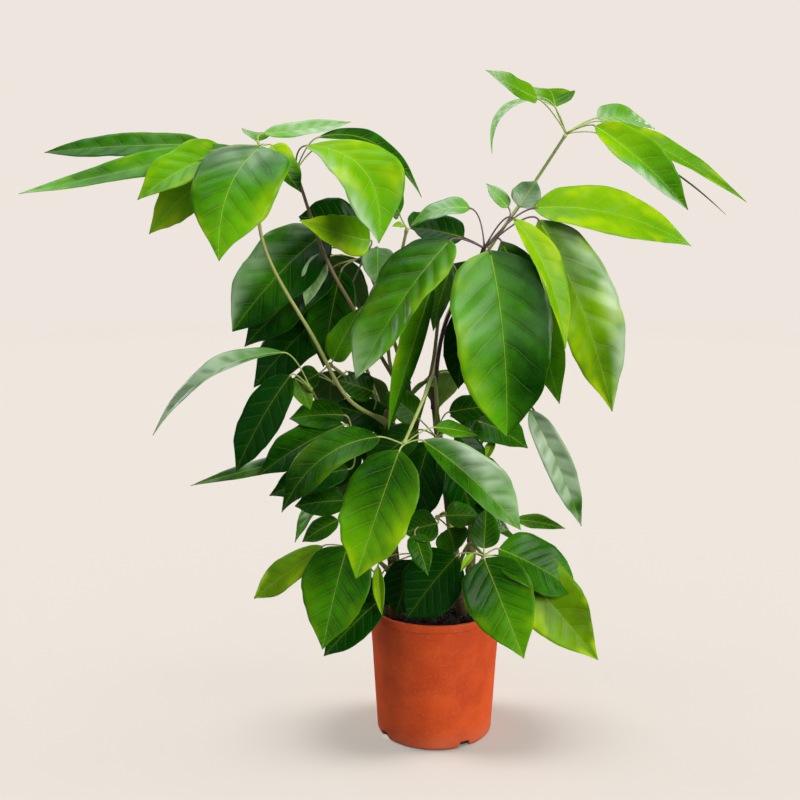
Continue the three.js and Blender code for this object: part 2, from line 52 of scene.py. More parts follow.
MM = 0.001
BODY = "root"
Point = tuple[float, float, float]
Colour = tuple[float, float, float]
NONE = (0.0, 0.0, 0.0)
# A blade's UV map, and one unit of it in metres
BLADE_MAP = "blade"
UV_SPAN = 0.4
# A side vein keeps y - VEIN_LEAN |x| - VEIN_CURVE x^2 the same, with x across its blade and y along it
VEIN_LEAN = 0.8
VEIN_CURVE = 3.0


class Outline(Enum):
    """Half width of a blade, as a share of its greatest, at places from its base to its tip."""

    OBLONG = ((0, 0.05), (0.06, 0.44), (0.16, 0.78), (0.4, 1),
              (0.62, 0.96), (0.78, 0.72), (0.9, 0.32), (1, 0))
    OVATE = ((0, 0.05), (0.06, 0.54), (0.16, 0.86), (0.36, 1),
             (0.6, 0.88), (0.76, 0.62), (0.9, 0.24), (1, 0))
    OBOVATE = ((0, 0.05), (0.06, 0.32), (0.16, 0.58), (0.42, 0.94),
               (0.62, 1), (0.78, 0.82), (0.9, 0.4), (1, 0))
    LANCE = ((0, 0.06), (0.06, 0.38), (0.16, 0.7), (0.4, 1),
             (0.6, 0.88), (0.76, 0.62), (0.9, 0.28), (1, 0))
    FULL = ((0, 0.05), (0.06, 0.5), (0.16, 0.84), (0.36, 1),
            (0.6, 0.94), (0.78, 0.75), (0.9, 0.41), (1, 0))


class Tone(Enum):
    """How light, how yellow and how glossy a blade is, each from 0 to 1. The lightness is partly the leaf's
    own colour and partly painted light and shade, lighter for lit leaflets and near black for ones deep in
    the plant's shade, and a glossy tone also paints a pale sheen over the green.
    """

    FRESH = (0.96, 0.7, 0.3)
    BRIGHT = (0.7, 0.4, 0.4)
    MID = (0.46, 0.2, 0.45)
    DEEP = (0.3, 0.08, 0.5)
    DARK = (0.14, 0.0, 0.4)
    BLACK = (0.0, 0.0, 0.5)
    OLIVE = (0.36, 0.5, 0.2)
    GREY = (0.42, 0.1, 1.0)
    PALE = (0.8, 0.25, 1.0)
    SATIN = (0.42, 0.04, 0.9)
    GLAZED = (0.42, 0.16, 0.74)


class Bark(Enum):
    """The colour of a petiole: its shares of brown, of purple and of a pale green."""

    LIGHT = (0.0, 0.0, 1.2)
    GREEN = (0.0, 0.0, 0.4)
    OLIVE = (0.4, 0.0, 0.24)
    BROWN = (0.85, 0.1, 0.05)
    PURPLE = (0.3, 1.0, 0.0)


class Slot(IntEnum):
    """The place of each material on a frond's piece."""

    TOP = 0
    UNDER = 1
    STALK = 2


class Signal:
    """A shader socket in an expression: each operator on it adds a Math node."""

    def __init__(self, graph: "Graph", socket: bpy.types.NodeSocket) -> None:
        """Keeps the socket and the graph that it belongs to."""
        self.graph = graph
        self.socket = socket

    def _math(self, operation: str, *values: "Signal | float") -> "Signal":
        """Adds a Math node on the given values."""
        return self.graph.node("ShaderNodeMath", {"operation": operation}, dict(enumerate(values)), "Value")

    def __add__(self, other: "Signal | float") -> "Signal":
        """self + other."""
        return self._math("ADD", self, other)

    def __sub__(self, other: "Signal | float") -> "Signal":
        """self - other."""
        return self._math("SUBTRACT", self, other)

    def __rsub__(self, other: float) -> "Signal":
        """other - self."""
        return self._math("SUBTRACT", other, self)

    def __mul__(self, other: "Signal | float") -> "Signal":
        """self * other."""
        return self._math("MULTIPLY", self, other)

    def __truediv__(self, other: "Signal | float") -> "Signal":
        """self / other."""
        return self._math("DIVIDE", self, other)

    def __abs__(self) -> "Signal":
        """The size of self."""
        return self._math("ABSOLUTE", self)

    def __gt__(self, other: float) -> "Signal":
        """1 where self is above other, and 0 elsewhere."""
        return self._math("GREATER_THAN", self, other)

    __radd__ = __add__
    __rmul__ = __mul__

    def fraction(self) -> "Signal":
        """The part of self after the point."""
        return self._math("FRACT", self)

    def ramp(self, low: float, high: float, start: float = 0.0, end: float = 1.0) -> "Signal":
        """A smooth step from start, where self is low, to end, where it is high.

        Args:
            low: The value of self where the step begins.
            high: The value of self where the step ends.
            start: The result at and below low.
            end: The result at and above high.

        Returns:
            The step as a signal.
        """
        sockets = {"Value": self, "From Min": low, "From Max": high, "To Min": start, "To Max": end}
        settings = {"interpolation_type": "SMOOTHSTEP", "clamp": True}
        return self.graph.node("ShaderNodeMapRange", settings, sockets, "Result")

    def fall(self, low: float, high: float) -> "Signal":
        """A smooth step from 1, where self is low, to 0, where it is high."""
        return self.ramp(low, high, 1.0, 0.0)


class Graph:
    """The node tree of one new material, with its Principled shader."""

    def __init__(self, name: str) -> None:
        """Makes the material and its shader.

        Args:
            name: The material's name.
        """
        self.material = bpy.data.materials.new(name)
        self.material.use_nodes = True
        self.tree = self.material.node_tree
        self.tree.nodes.clear()
        self.output = self.tree.nodes.new("ShaderNodeOutputMaterial")
        self.shader = self.tree.nodes.new("ShaderNodeBsdfPrincipled")
        self.tree.links.new(self.shader.outputs[0], self.output.inputs["Surface"])

    @staticmethod
    def find(sockets: bpy.types.NodeInputs, key: "str | int") -> bpy.types.NodeSocket:
        """Looks up a socket.

        Args:
            sockets: A node's inputs or outputs.
            key: The socket's index, identifier or name.

        Returns:
            The socket.
        """
        if isinstance(key, int):
            return sockets[key]
        exact = [one for one in sockets if one.identifier == key]
        return exact[0] if exact else sockets[key]

    def feed(self, node: bpy.types.Node, sockets: dict) -> None:
        """Sets or links the inputs of a node.

        Args:
            node: The node.
            sockets: For each input's name, a number, a colour or a signal.
        """
        for key, value in sockets.items():
            target = self.find(node.inputs, key)
            if isinstance(value, Signal):
                self.tree.links.new(value.socket, target)
            elif isinstance(value, tuple) and len(value) == 3 and target.type == "RGBA":
                target.default_value = (*value, 1.0)
            else:
                target.default_value = value

    def node(self, kind: str, settings: dict, sockets: dict, result: "str | int") -> Signal:
        """Adds a node of any kind.

        Args:
            kind: The node's type.
            settings: The node's own settings, which are set first.
            sockets: Values or signals for its inputs.
            result: The output that is wanted.

        Returns:
            That output as a signal.
        """
        node = self.tree.nodes.new(kind)
        for key, value in settings.items():
            setattr(node, key, value)
        self.feed(node, sockets)
        return Signal(self, self.find(node.outputs, result))

    def mix(self, share: "Signal | float", first: "Signal | Colour", second: "Signal | Colour") -> Signal:
        """Mixes two colours, by the share of the second."""
        sockets = {"Factor_Float": share, "A_Color": first, "B_Color": second}
        return self.node("ShaderNodeMix", {"data_type": "RGBA"}, sockets, "Result_Color")

    def layers(self, ground: Signal, *coats: tuple[Signal, Colour]) -> Signal:
        """Lays colours over a ground, one after another.

        Args:
            ground: The colour that the others cover.
            coats: The share and the colour of each layer.

        Returns:
            The colour that results.
        """
        for share, colour in coats:
            ground = self.mix(share, ground, colour)
        return ground

    def parts(self, colour: Signal) -> tuple[Signal, Signal, Signal]:
        """The three channels of a colour."""
        outputs = self.node("ShaderNodeSeparateColor", {}, {"Color": colour}, 0).socket.node.outputs
        return tuple(Signal(self, outputs[channel]) for channel in range(3))

    def attribute(self, name: str) -> tuple[Signal, Signal, Signal]:
        """The three channels of a colour attribute of the mesh."""
        return self.parts(self.node("ShaderNodeAttribute", {"attribute_name": name}, {}, "Color"))

    def place(self) -> Signal:
        """The object's own coordinates, in metres."""
        return self.node("ShaderNodeTexCoord", {}, {}, "Object")

    def height(self, where: Signal) -> Signal:
        """The height of coordinates, in metres above the pot's underside."""
        return self.node("ShaderNodeSeparateXYZ", {}, {"Vector": where}, "Z")

    def stretch(self, where: Signal, upright: float) -> Signal:
        """Coordinates whose height is scaled, which draws a pattern out upwards or flattens it."""
        return self.node("ShaderNodeMapping", {}, {"Vector": where, "Scale": (1.0, 1.0, upright)}, "Vector")

    def noise(self, where: Signal, scale: float, detail: float = 3.0, rough: float = 0.5) -> Signal:
        """Noise from 0 to 1.

        Args:
            where: The coordinates that it is read at.
            scale: The number of its features in a metre.
            detail: The number of its finer layers.
            rough: How strong the finer layers are.

        Returns:
            The noise as a signal.
        """
        sockets = {"Vector": where, "Scale": scale, "Detail": detail, "Roughness": rough}
        return self.node("ShaderNodeTexNoise", {}, sockets, "Fac")

    def cells(self, where: Signal, scale: float, feature: str) -> Signal:
        """The distance in a pattern of cells.

        Args:
            where: The coordinates that it is read at.
            scale: The number of cells in a unit of the coordinates.
            feature: What the distance is to, as the Voronoi node names it.

        Returns:
            The distance as a signal, in cells.
        """
        sockets = {"Vector": where, "Scale": scale}
        return self.node("ShaderNodeTexVoronoi", {"feature": feature}, sockets, "Distance")

    def bump(self, height: Signal, distance: float, strength: float = 1.0) -> Signal:
        """A normal that a height tilts.

        Args:
            height: The height, as a share of the distance.
            distance: The real height where the signal is 1, in metres.
            strength: The strength of the effect.

        Returns:
            The normal.
        """
        sockets = {"Height": height, "Distance": distance, "Strength": strength}
        return self.node("ShaderNodeBump", {}, sockets, "Normal")

    def dress(self, sockets: dict) -> bpy.types.Material:
        """Feeds the Principled shader and gives the material."""
        self.feed(self.shader, sockets)
        return self.material


@dataclass(frozen=True)
class LeafFinish:
    """The upper face of a blade, or its matt underside."""

    name: str
    dark: Colour
    light: Colour
    lime: Colour
    vein: Colour
    # The pale colour painted over glossy parts as a sheen, a painted highlight
    painted_sheen: Colour
    roughness: float
    coat: float
    vein_share: float
    relief: float
    spot: Colour = (0.1, 0.07, 0.02)
    vein_core: float = 0.1 * MM
    vein_reach: float = 0.9 * MM
    vein_halo: float = 8 * MM
    vein_wander: float = 8 * MM
    midrib_core: float = 0.4 * MM
    midrib_reach: float = 1.3 * MM
    midrib_halo: float = 9 * MM
    net_scale: float = 110.0

    def material(self) -> bpy.types.Material:
        """Builds the material: side veins that curve forward from the midrib, a fine net and quilting, with
        painted shade in the creases beside the side veins and a pale painted sheen on glossy parts.

        Side veins lie where (y - VEIN_LEAN |x| - VEIN_CURVE x^2) / spacing passes a half, with x
        across and y along the blade in metres, and half a spacing further on at one side.

        Returns:
            The material.
        """
        graph = Graph(self.name)
        where = graph.place()
        uv = graph.node("ShaderNodeUVMap", {"uv_map": BLADE_MAP}, {}, "UV")
        across, along, _ = graph.parts(uv)
        across = (across - 0.5) * UV_SPAN
        along = along * UV_SPAN
        place, edge, spacing = graph.attribute("place")
        light, yellow, gloss_and_sheen = graph.attribute("tone")

        reach = abs(across)
        wander = (graph.noise(where, 40.0, 2.0) - 0.5) * self.vein_wander
        run = along - reach * VEIN_LEAN - reach * reach * VEIN_CURVE + wander
        phase = run / spacing + (across > 0.0) * 0.5
        gap = abs(phase.fraction() - 0.5) * spacing
        fade = edge.fall(0.55, 0.97)
        vein = gap.fall(self.vein_core, self.vein_reach) * fade
        halo = gap.fall(0.0, self.vein_halo) * fade
        midrib = (reach * (place * 1.6 + 0.8)).fall(self.midrib_core, self.midrib_reach)
        midrib_halo = (reach * (place + 0.8)).fall(0.0, self.midrib_halo)
        cells = graph.cells(uv, self.net_scale, "DISTANCE_TO_EDGE")
        net = cells.fall(0.0, 0.09)

        cloud = graph.noise(where, 11.0, 3.0)
        mottle = graph.noise(where, 70.0, 4.0, 0.6)
        patch = graph.noise(where, 17.0, 2.0).ramp(0.46, 0.66) * edge.ramp(0.15, 0.95)
        # Patches where the painted sheen lies, dimmed beside the side veins
        painted_sheen_patch = graph.noise(where, 14.0, 2.0).ramp(0.3, 0.6) * (0.85 - halo * 0.4)
        strength = light * 0.75 + 0.25
        # The blade's tone varies at random, and the halo darkens it beside the side veins as painted shade
        # in the creases
        shade = light + (cloud - 0.5) * 1.1 + (mottle - 0.5) * 0.3 - halo * 0.12
        lime = yellow * (0.2 + cloud * 1.2 + patch * 1.3)
        colour = graph.layers(
            graph.mix(shade.ramp(0.0, 1.0), self.dark, self.light),
            (lime.ramp(0.05, 1.1), self.lime),
            # A pale painted sheen over glossy parts
            (gloss_and_sheen.ramp(0.6, 1.1) * painted_sheen_patch, self.painted_sheen),
            (net * strength * 0.09, self.vein),
            ((vein * self.vein_share + midrib_halo * 0.08) * strength, self.vein),
            (midrib * strength * 0.75, self.vein),
            (edge.ramp(0.97, 1.0) * strength * 0.3, self.vein),
            (graph.noise(where, 160.0, 1.0).ramp(0.8, 0.84) * 0.5, self.spot))

        rough = self.roughness + (mottle - 0.5) * 0.12 - gloss_and_sheen * 0.1 + midrib * 0.12
        sag = graph.noise(where, 26.0, 1.0)
        height = (1.0 - halo) * 0.4 + cells.ramp(0.0, 0.25) * 0.05 - midrib * 0.5 + mottle * 0.15 + sag * 2.2
        return graph.dress({"Base Color": colour, "Roughness": rough,
                            "Coat Weight": gloss_and_sheen.ramp(0.4, 1.2) * self.coat, "Coat Roughness": 0.24,
                            "Specular IOR Level": 0.08, "Normal": graph.bump(height, self.relief, 0.7)})


@dataclass(frozen=True)
class StalkFinish:
    """The green, olive, brown or purple skin of petioles and stalklets."""

    name: str
    green: Colour
    brown: Colour
    purple: Colour
    pale: Colour
    fleck: Colour

    def material(self) -> bpy.types.Material:
        """Builds the material: pale flecks and long streaks on a skin tinted by its attribute.

        Returns:
            The material.
        """
        graph = Graph(self.name)
        brown, purple, pale = graph.attribute("tone")
        where = graph.place()
        streak = graph.noise(graph.stretch(where, 0.12), 420.0, 3.0)
        fleck = graph.noise(where, 700.0, 1.0).ramp(0.62, 0.7)
        colour = graph.layers(
            graph.mix((brown + (streak - 0.5) * 0.5).ramp(0.0, 1.0), self.green, self.brown),
            (purple, self.purple), (pale * 0.7, self.pale), (fleck * 0.45, self.fleck))
        return graph.dress({"Base Color": colour, "Roughness": 0.42 + streak * 0.2,
                            "Normal": graph.bump(streak * 0.5 + fleck, 0.3 * MM)})


@dataclass(frozen=True)
class BarkFinish:
    """The stems' thin bark, with lenticels and leaf scars."""

    name: str
    olive: Colour
    brown: Colour
    cork: Colour
    foot: Colour
    soil_level: float = 170 * MM
    clean_level: float = 200 * MM

    def material(self) -> bpy.types.Material:
        """Builds the material: long streaks, corky flecks and a darker foot.

        Returns:
            The material.
        """
        graph = Graph(self.name)
        where = graph.place()
        streak = graph.noise(graph.stretch(where, 0.2), 260.0, 4.0, 0.6)
        cork = graph.noise(where, 420.0, 2.0).ramp(0.58, 0.66)
        foot = graph.height(where).fall(self.soil_level, self.clean_level)
        colour = graph.layers(graph.mix(streak.ramp(0.35, 0.7), self.olive, self.brown),
                              (cork * 0.6, self.cork), (foot * 0.6, self.foot))
        return graph.dress({"Base Color": colour, "Roughness": 0.55 + streak * 0.25,
                            "Normal": graph.bump(streak * 0.6 + cork, 0.7 * MM)})


@dataclass(frozen=True)
class EarthFinish:
    """Dark potting soil with pale specks."""

    name: str
    dark: Colour
    brown: Colour
    speck: Colour

    def material(self) -> bpy.types.Material:
        """Builds the material: fibres, crumbs and a few pale grains.

        Returns:
            The material.
        """
        graph = Graph(self.name)
        where = graph.place()
        crumb = graph.noise(where, 380.0, 5.0, 0.65)
        patch = graph.noise(where, 45.0, 2.0)
        cell = graph.cells(where, 210.0, "F1")
        speck = cell.fall(0.08, 0.16) * patch.ramp(0.5, 0.65)
        colour = graph.layers(graph.mix((crumb * 0.7 + patch * 0.4).ramp(0.35, 0.8), self.dark, self.brown),
                              (speck * 0.8, self.speck))
        return graph.dress({"Base Color": colour, "Roughness": 0.8 + crumb * 0.2,
                            "Normal": graph.bump(crumb + cell * 0.5, 3 * MM)})


@dataclass(frozen=True)
class PotFinish:
    """Moulded terracotta-coloured plastic, a little scuffed and dusty."""

    name: str
    body: Colour
    worn: Colour
    deep: Colour
    dust: Colour
    soil: Colour
    dust_height: float = 35 * MM
    lip_start: float = 170 * MM
    lip_end: float = 190 * MM

    def material(self) -> bpy.types.Material:
        """Builds the material: clouded colour, fine level scuffs, dust at the foot and soil at the rim.

        Returns:
            The material.
        """
        graph = Graph(self.name)
        where = graph.place()
        cloud = graph.noise(where, 22.0, 4.0, 0.6)
        fine = graph.noise(where, 260.0, 3.0, 0.6)
        scuff = graph.noise(graph.stretch(where, 9.0), 60.0, 3.0, 0.7).ramp(0.6, 0.78)
        height = graph.height(where)
        lip = height.ramp(self.lip_start, self.lip_end)
        smear = (cloud * 0.6 + fine * 0.6).ramp(0.74, 0.84) * lip
        colour = graph.layers(
            graph.mix(cloud.ramp(0.3, 0.72), self.deep, self.body),
            (fine.ramp(0.5, 0.75) * 0.25, self.worn), (scuff * 0.3, self.worn),
            (height.fall(0.0, self.dust_height) * cloud * 0.35, self.dust), (smear * 0.55, self.soil))
        return graph.dress({"Base Color": colour, "Roughness": 0.4 + fine * 0.14 + scuff * 0.1 - lip * 0.05,
                            "Specular IOR Level": 0.3,
                            "Normal": graph.bump(fine * 0.6 + cloud + scuff * 0.3, 0.45 * MM)})


@dataclass(frozen=True)
class StageFinish:
    """The studio's plain matt sweep: a floor that takes shadows and glows a little, and a glowing wall."""

    name: str
    colour: Colour
    floor_glow: Colour
    wall_glow: Colour
    blend: float = 30 * MM

    def material(self) -> bpy.types.Material:
        """Builds the material: the floor gives way to the wall, at the same tone, as the sweep rises.

        Returns:
            The material.
        """
        graph = Graph(self.name)
        rise = graph.height(graph.place()).ramp(0.0, self.blend)
        return graph.dress({"Base Color": graph.mix(rise, self.colour, NONE), "Roughness": 1.0,
                            "Specular IOR Level": 0.0, "Emission Strength": 1.0,
                            "Emission Color": graph.mix(rise, self.floor_glow, self.wall_glow)})


# Each face's pale sheen colour is painted over its glossy parts as a painted highlight
LEAF_TOP = LeafFinish(
    "leaf_upper_face", dark=(0.0, 0.034, 0.0), light=(0.055, 0.285, 0.0), lime=(0.28, 0.46, 0.0),
    vein=(0.33, 0.55, 0.05), painted_sheen=(0.42, 0.54, 0.38), roughness=0.36, coat=0.3, vein_share=0.32,
    relief=1.2 * MM)
LEAF_UNDER = LeafFinish(
    "leaf_underside", dark=(0.03, 0.085, 0.012), light=(0.12, 0.29, 0.035), lime=(0.28, 0.4, 0.04),
    vein=(0.36, 0.46, 0.12), painted_sheen=(0.3, 0.4, 0.25), roughness=0.55, coat=0.0, vein_share=0.35,
    relief=-0.9 * MM)
STALK = StalkFinish("stalk_skin", green=(0.26, 0.33, 0.06), brown=(0.2, 0.12, 0.05),
                    purple=(0.1, 0.02, 0.08), pale=(0.5, 0.6, 0.2), fleck=(0.42, 0.4, 0.2))
BARK = BarkFinish("stem_bark", olive=(0.11, 0.105, 0.035), brown=(0.1, 0.055, 0.025),
                  cork=(0.36, 0.3, 0.18), foot=(0.03, 0.02, 0.012))
EARTH = EarthFinish("potting_soil", dark=(0.008, 0.006, 0.004), brown=(0.05, 0.03, 0.018),
                    speck=(0.32, 0.27, 0.2))
PLASTIC = PotFinish("pot_plastic", body=(0.72, 0.092, 0.014), worn=(0.78, 0.19, 0.08),
                    deep=(0.57, 0.062, 0.009), dust=(0.3, 0.2, 0.14), soil=(0.06, 0.03, 0.02))
SWEEP = StageFinish("studio_sweep", colour=(0.584, 0.538, 0.499), floor_glow=(0.0, 0.045, 0.034),
                    wall_glow=(0.855, 0.791, 0.73))


@dataclass
class Shell:
    """Closed surfaces as whole arrays, with what their materials read at each point.

    A blade's place attribute holds the share of its length, the share of its half width, and the
    spacing of its side veins in metres. The tone attribute holds what a Tone or a Bark says.
    """

    points: np.ndarray
    faces: list[np.ndarray]
    slots: list[int]
    uv: np.ndarray
    place: np.ndarray
    tone: np.ndarray

    @staticmethod
    def plain(points: np.ndarray, faces: list[np.ndarray], slot: int = 0, tone: Colour = NONE) -> "Shell":
        """A shell of one slot and one tone, with no UV of its own.

        Args:
            points: The points, one row each.
            faces: Groups of faces that have the same number of corners.
            slot: The material's place on the object.
            tone: The tone attribute at every point.

        Returns:
            The shell.
        """
        count = len(points)
        blank = np.zeros((count, 3))
        return Shell(points, faces, [slot] * len(faces), blank[:, :2], blank, np.tile(tone, (count, 1)))

    @staticmethod
    def join(shells: list["Shell"]) -> "Shell":
        """Puts shells together.

        Args:
            shells: The shells.

        Returns:
            One shell of all their points and faces.
        """
        starts = np.cumsum([0] + [len(shell.points) for shell in shells[:-1]])
        faces = [group + start for shell, start in zip(shells, starts) for group in shell.faces]
        slots = [slot for shell in shells for slot in shell.slots]
        points, uv, place, tone = (np.concatenate([getattr(shell, name) for shell in shells])
                                   for name in ("points", "uv", "place", "tone"))
        return Shell(points, faces, slots, uv, place, tone)

    def piece(self, name: str, materials: list[bpy.types.Material], node: str,
              slot: str) -> bpy.types.Object:
        """Makes the object that stands for a node of the frame.

        Args:
            name: The object's name.
            materials: The materials, in the order of the slots.
            node: The node that it replaces.
            slot: The record's material slot. It is not used.

        Returns:
            The object, in place and riding on the body.
        """
        mesh = bpy.data.meshes.new(name)
        sizes = np.concatenate([np.full(len(group), group.shape[1]) for group in self.faces])
        corners = np.concatenate([group.ravel() for group in self.faces])
        mesh.vertices.add(len(self.points))
        mesh.vertices.foreach_set("co", self.points.astype(np.float32).ravel())
        mesh.loops.add(len(corners))
        mesh.loops.foreach_set("vertex_index", corners.astype(np.int32))
        mesh.polygons.add(len(sizes))
        starts = np.concatenate([[0], np.cumsum(sizes)[:-1]])
        mesh.polygons.foreach_set("loop_start", starts.astype(np.int32))
        owners = np.concatenate([np.full(len(group), place) for group, place in zip(self.faces, self.slots)])
        mesh.polygons.foreach_set("material_index", owners.astype(np.int32))
        mesh.update(calc_edges=True)
        mesh.shade_smooth()
        layer = mesh.uv_layers.new(name=BLADE_MAP)
        layer.data.foreach_set("uv", self.uv[corners].astype(np.float32).ravel())
        for key, values in (("place", self.place), ("tone", self.tone)):
            attribute = mesh.color_attributes.new(name=key, type="FLOAT_COLOR", domain="POINT")
            padded = np.hstack([values, np.ones((len(values), 1))])
            attribute.data.foreach_set("color", padded.astype(np.float32).ravel())
        for material in materials:
            mesh.materials.append(material)
        piece = bpy.data.objects.new(name, mesh)
        bpy.context.scene.collection.objects.link(piece)
        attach(piece, BODY)
        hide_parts(node)
        log.info("%s: %d points, %d faces", name, len(self.points), len(sizes))
        return piece


def unit(vectors: np.ndarray) -> np.ndarray:
    """The vectors, each scaled to a length of one."""
    return vectors / np.maximum(np.linalg.norm(vectors, axis=-1, keepdims=True), 1e-12)


def lengths(points: np.ndarray) -> np.ndarray:
    """The length of a path from its start to each of its points."""
    return np.concatenate([[0], np.cumsum(np.linalg.norm(np.diff(points, axis=0), axis=1))])


def hermite(x: np.ndarray, start: np.ndarray, end: np.ndarray, leave: np.ndarray,
            arrive: np.ndarray) -> np.ndarray:
    """The cubic with given ends and slopes.

    Args:
        x: Places from 0 to 1.
        start: Its value at 0.
        end: Its value at 1.
        leave: Its slope at 0.
        arrive: Its slope at 1.

    Returns:
        The values at the places.
    """
    return ((1 + 2 * x) * (1 - x) ** 2 * start + x * (1 - x) ** 2 * leave
            + x ** 2 * (3 - 2 * x) * end + x ** 2 * (x - 1) * arrive)


def smooth_curve(stations: tuple, places: np.ndarray) -> np.ndarray:
    """A smooth curve through stations that never overshoots them.

    It is the cubic Hermite curve whose slope at a station is the harmonic mean of the slopes beside it.

    Args:
        stations: Pairs of place and value.
        places: Where the curve is read.

    Returns:
        The values at the places.
    """
    at, value = np.array(stations, float).T
    step = np.diff(at)
    rise = np.diff(value) / step
    before, after = rise[:-1], rise[1:]
    same = before * after > 0
    middle = np.where(same, 2 * before * after / np.where(same, before + after, 1.0), 0.0)
    slope = np.concatenate([[rise[0]], middle, [rise[-1]]])
    index = np.clip(np.searchsorted(at, places) - 1, 0, len(step) - 1)
    width = step[index]
    x = (places - at[index]) / width
    return hermite(x, value[index], value[index + 1], width * slope[index], width * slope[index + 1])


def route(points: np.ndarray, count: int, dense: int = 24) -> np.ndarray:
    """A centripetal Catmull-Rom curve through points, read at even steps of its length.

    Args:
        points: The points that it passes through.
        count: How many points are wanted.
        dense: How many points of each span measure its length.

    Returns:
        The points of the curve, one row each.
    """
    whole = np.vstack([2 * points[0] - points[1], points, 2 * points[-1] - points[-2]])
    knots = np.sqrt(np.linalg.norm(np.diff(whole, axis=0), axis=1))[:, None]
    p0, p1, p2, p3 = whole[:-3], whole[1:-2], whole[2:-1], whole[3:]
    d0, d1, d2 = knots[:-2], knots[1:-1], knots[2:]
    leave = ((p1 - p0) / d0 - (p2 - p0) / (d0 + d1) + (p2 - p1) / d1) * d1
    arrive = ((p2 - p1) / d1 - (p3 - p1) / (d1 + d2) + (p3 - p2) / d2) * d1
    x = np.linspace(0, 1, dense, endpoint=False)[:, None, None]
    spans = hermite(x, p1, p2, leave, arrive)
    path = np.vstack([spans.transpose(1, 0, 2).reshape(-1, 3), points[-1]])
    length = lengths(path)
    wanted = np.linspace(0, length[-1], count)
    return np.stack([np.interp(wanted, length, path[:, axis]) for axis in range(3)], axis=1)


def grid_faces(rows: int, columns: int, ring: bool = False, flip: bool = False) -> np.ndarray:
    """The quads of a grid of points stored row by row.

    Args:
        rows: The number of rows.
        columns: The number of points in a row.
        ring: Whether each row closes on itself.
        flip: Whether the faces look the other way.

    Returns:
        The corners of each quad.
    """
    row = np.arange(rows - 1)[:, None] * columns
    first = np.arange(columns if ring else columns - 1)[None, :]
    second = (first + 1) % columns
    quads = np.stack([row + first, row + second, row + columns + second, row + columns + first], axis=-1)
    quads = quads.reshape(-1, 4)
    return quads[:, ::-1] if flip else quads


def ring_faces(rings: int, sides: int, flip: bool = False) -> list[np.ndarray]:
    """The faces of a stack of rings.

    Args:
        rings: The number of rings.
        sides: The number of points in a ring.
        flip: Whether the faces look the other way.

    Returns:
        The quads between the rings, and the two faces that close the first and the last ring.
    """
    ring = np.arange(sides)
    ends = np.array([ring[::-1], ring + (rings - 1) * sides])
    return [grid_faces(rings, sides, ring=True, flip=flip), ends[:, ::-1] if flip else ends]


def turned(radius: np.ndarray, height: np.ndarray, sides: int) -> np.ndarray:
    """A profile turned about the Z axis: points (r cos a, r sin a, h), a ring for each pair of r and h.

    Args:
        radius: The profile's distances from the axis.
        height: Its heights.
        sides: The number of points in a ring.

    Returns:
        The points as an array of rings.
    """
    angle = np.linspace(0, 2 * np.pi, sides, endpoint=False)[None]
    across, depth = radius[:, None] * np.cos(angle), radius[:, None] * np.sin(angle)
    return np.stack([across, depth, np.broadcast_to(height[:, None], across.shape)], axis=-1)


def tube(centres: np.ndarray, radii: np.ndarray, sides: int, slot: int, tone: Colour) -> Shell:
    """A closed round rod: rings of points round a path, each end closed by one face.

    Args:
        centres: The path's points.
        radii: The radius at each of them.
        sides: The number of sides.
        slot: The material's place on the object.
        tone: The tone attribute.

    Returns:
        The rod.
    """
    along = unit(np.gradient(centres, axis=0))
    reference = np.eye(3)[np.argmin(np.abs(along.mean(axis=0)))]
    first = unit(np.cross(along, reference))
    second = np.cross(along, first)
    angle = np.linspace(0, 2 * np.pi, sides, endpoint=False)[None, :, None]
    points = (centres[:, None] + radii[:, None, None]
              * (np.cos(angle) * first[:, None] + np.sin(angle) * second[:, None]))
    return Shell.plain(points.reshape(-1, 3), ring_faces(len(centres), sides), slot, tone)


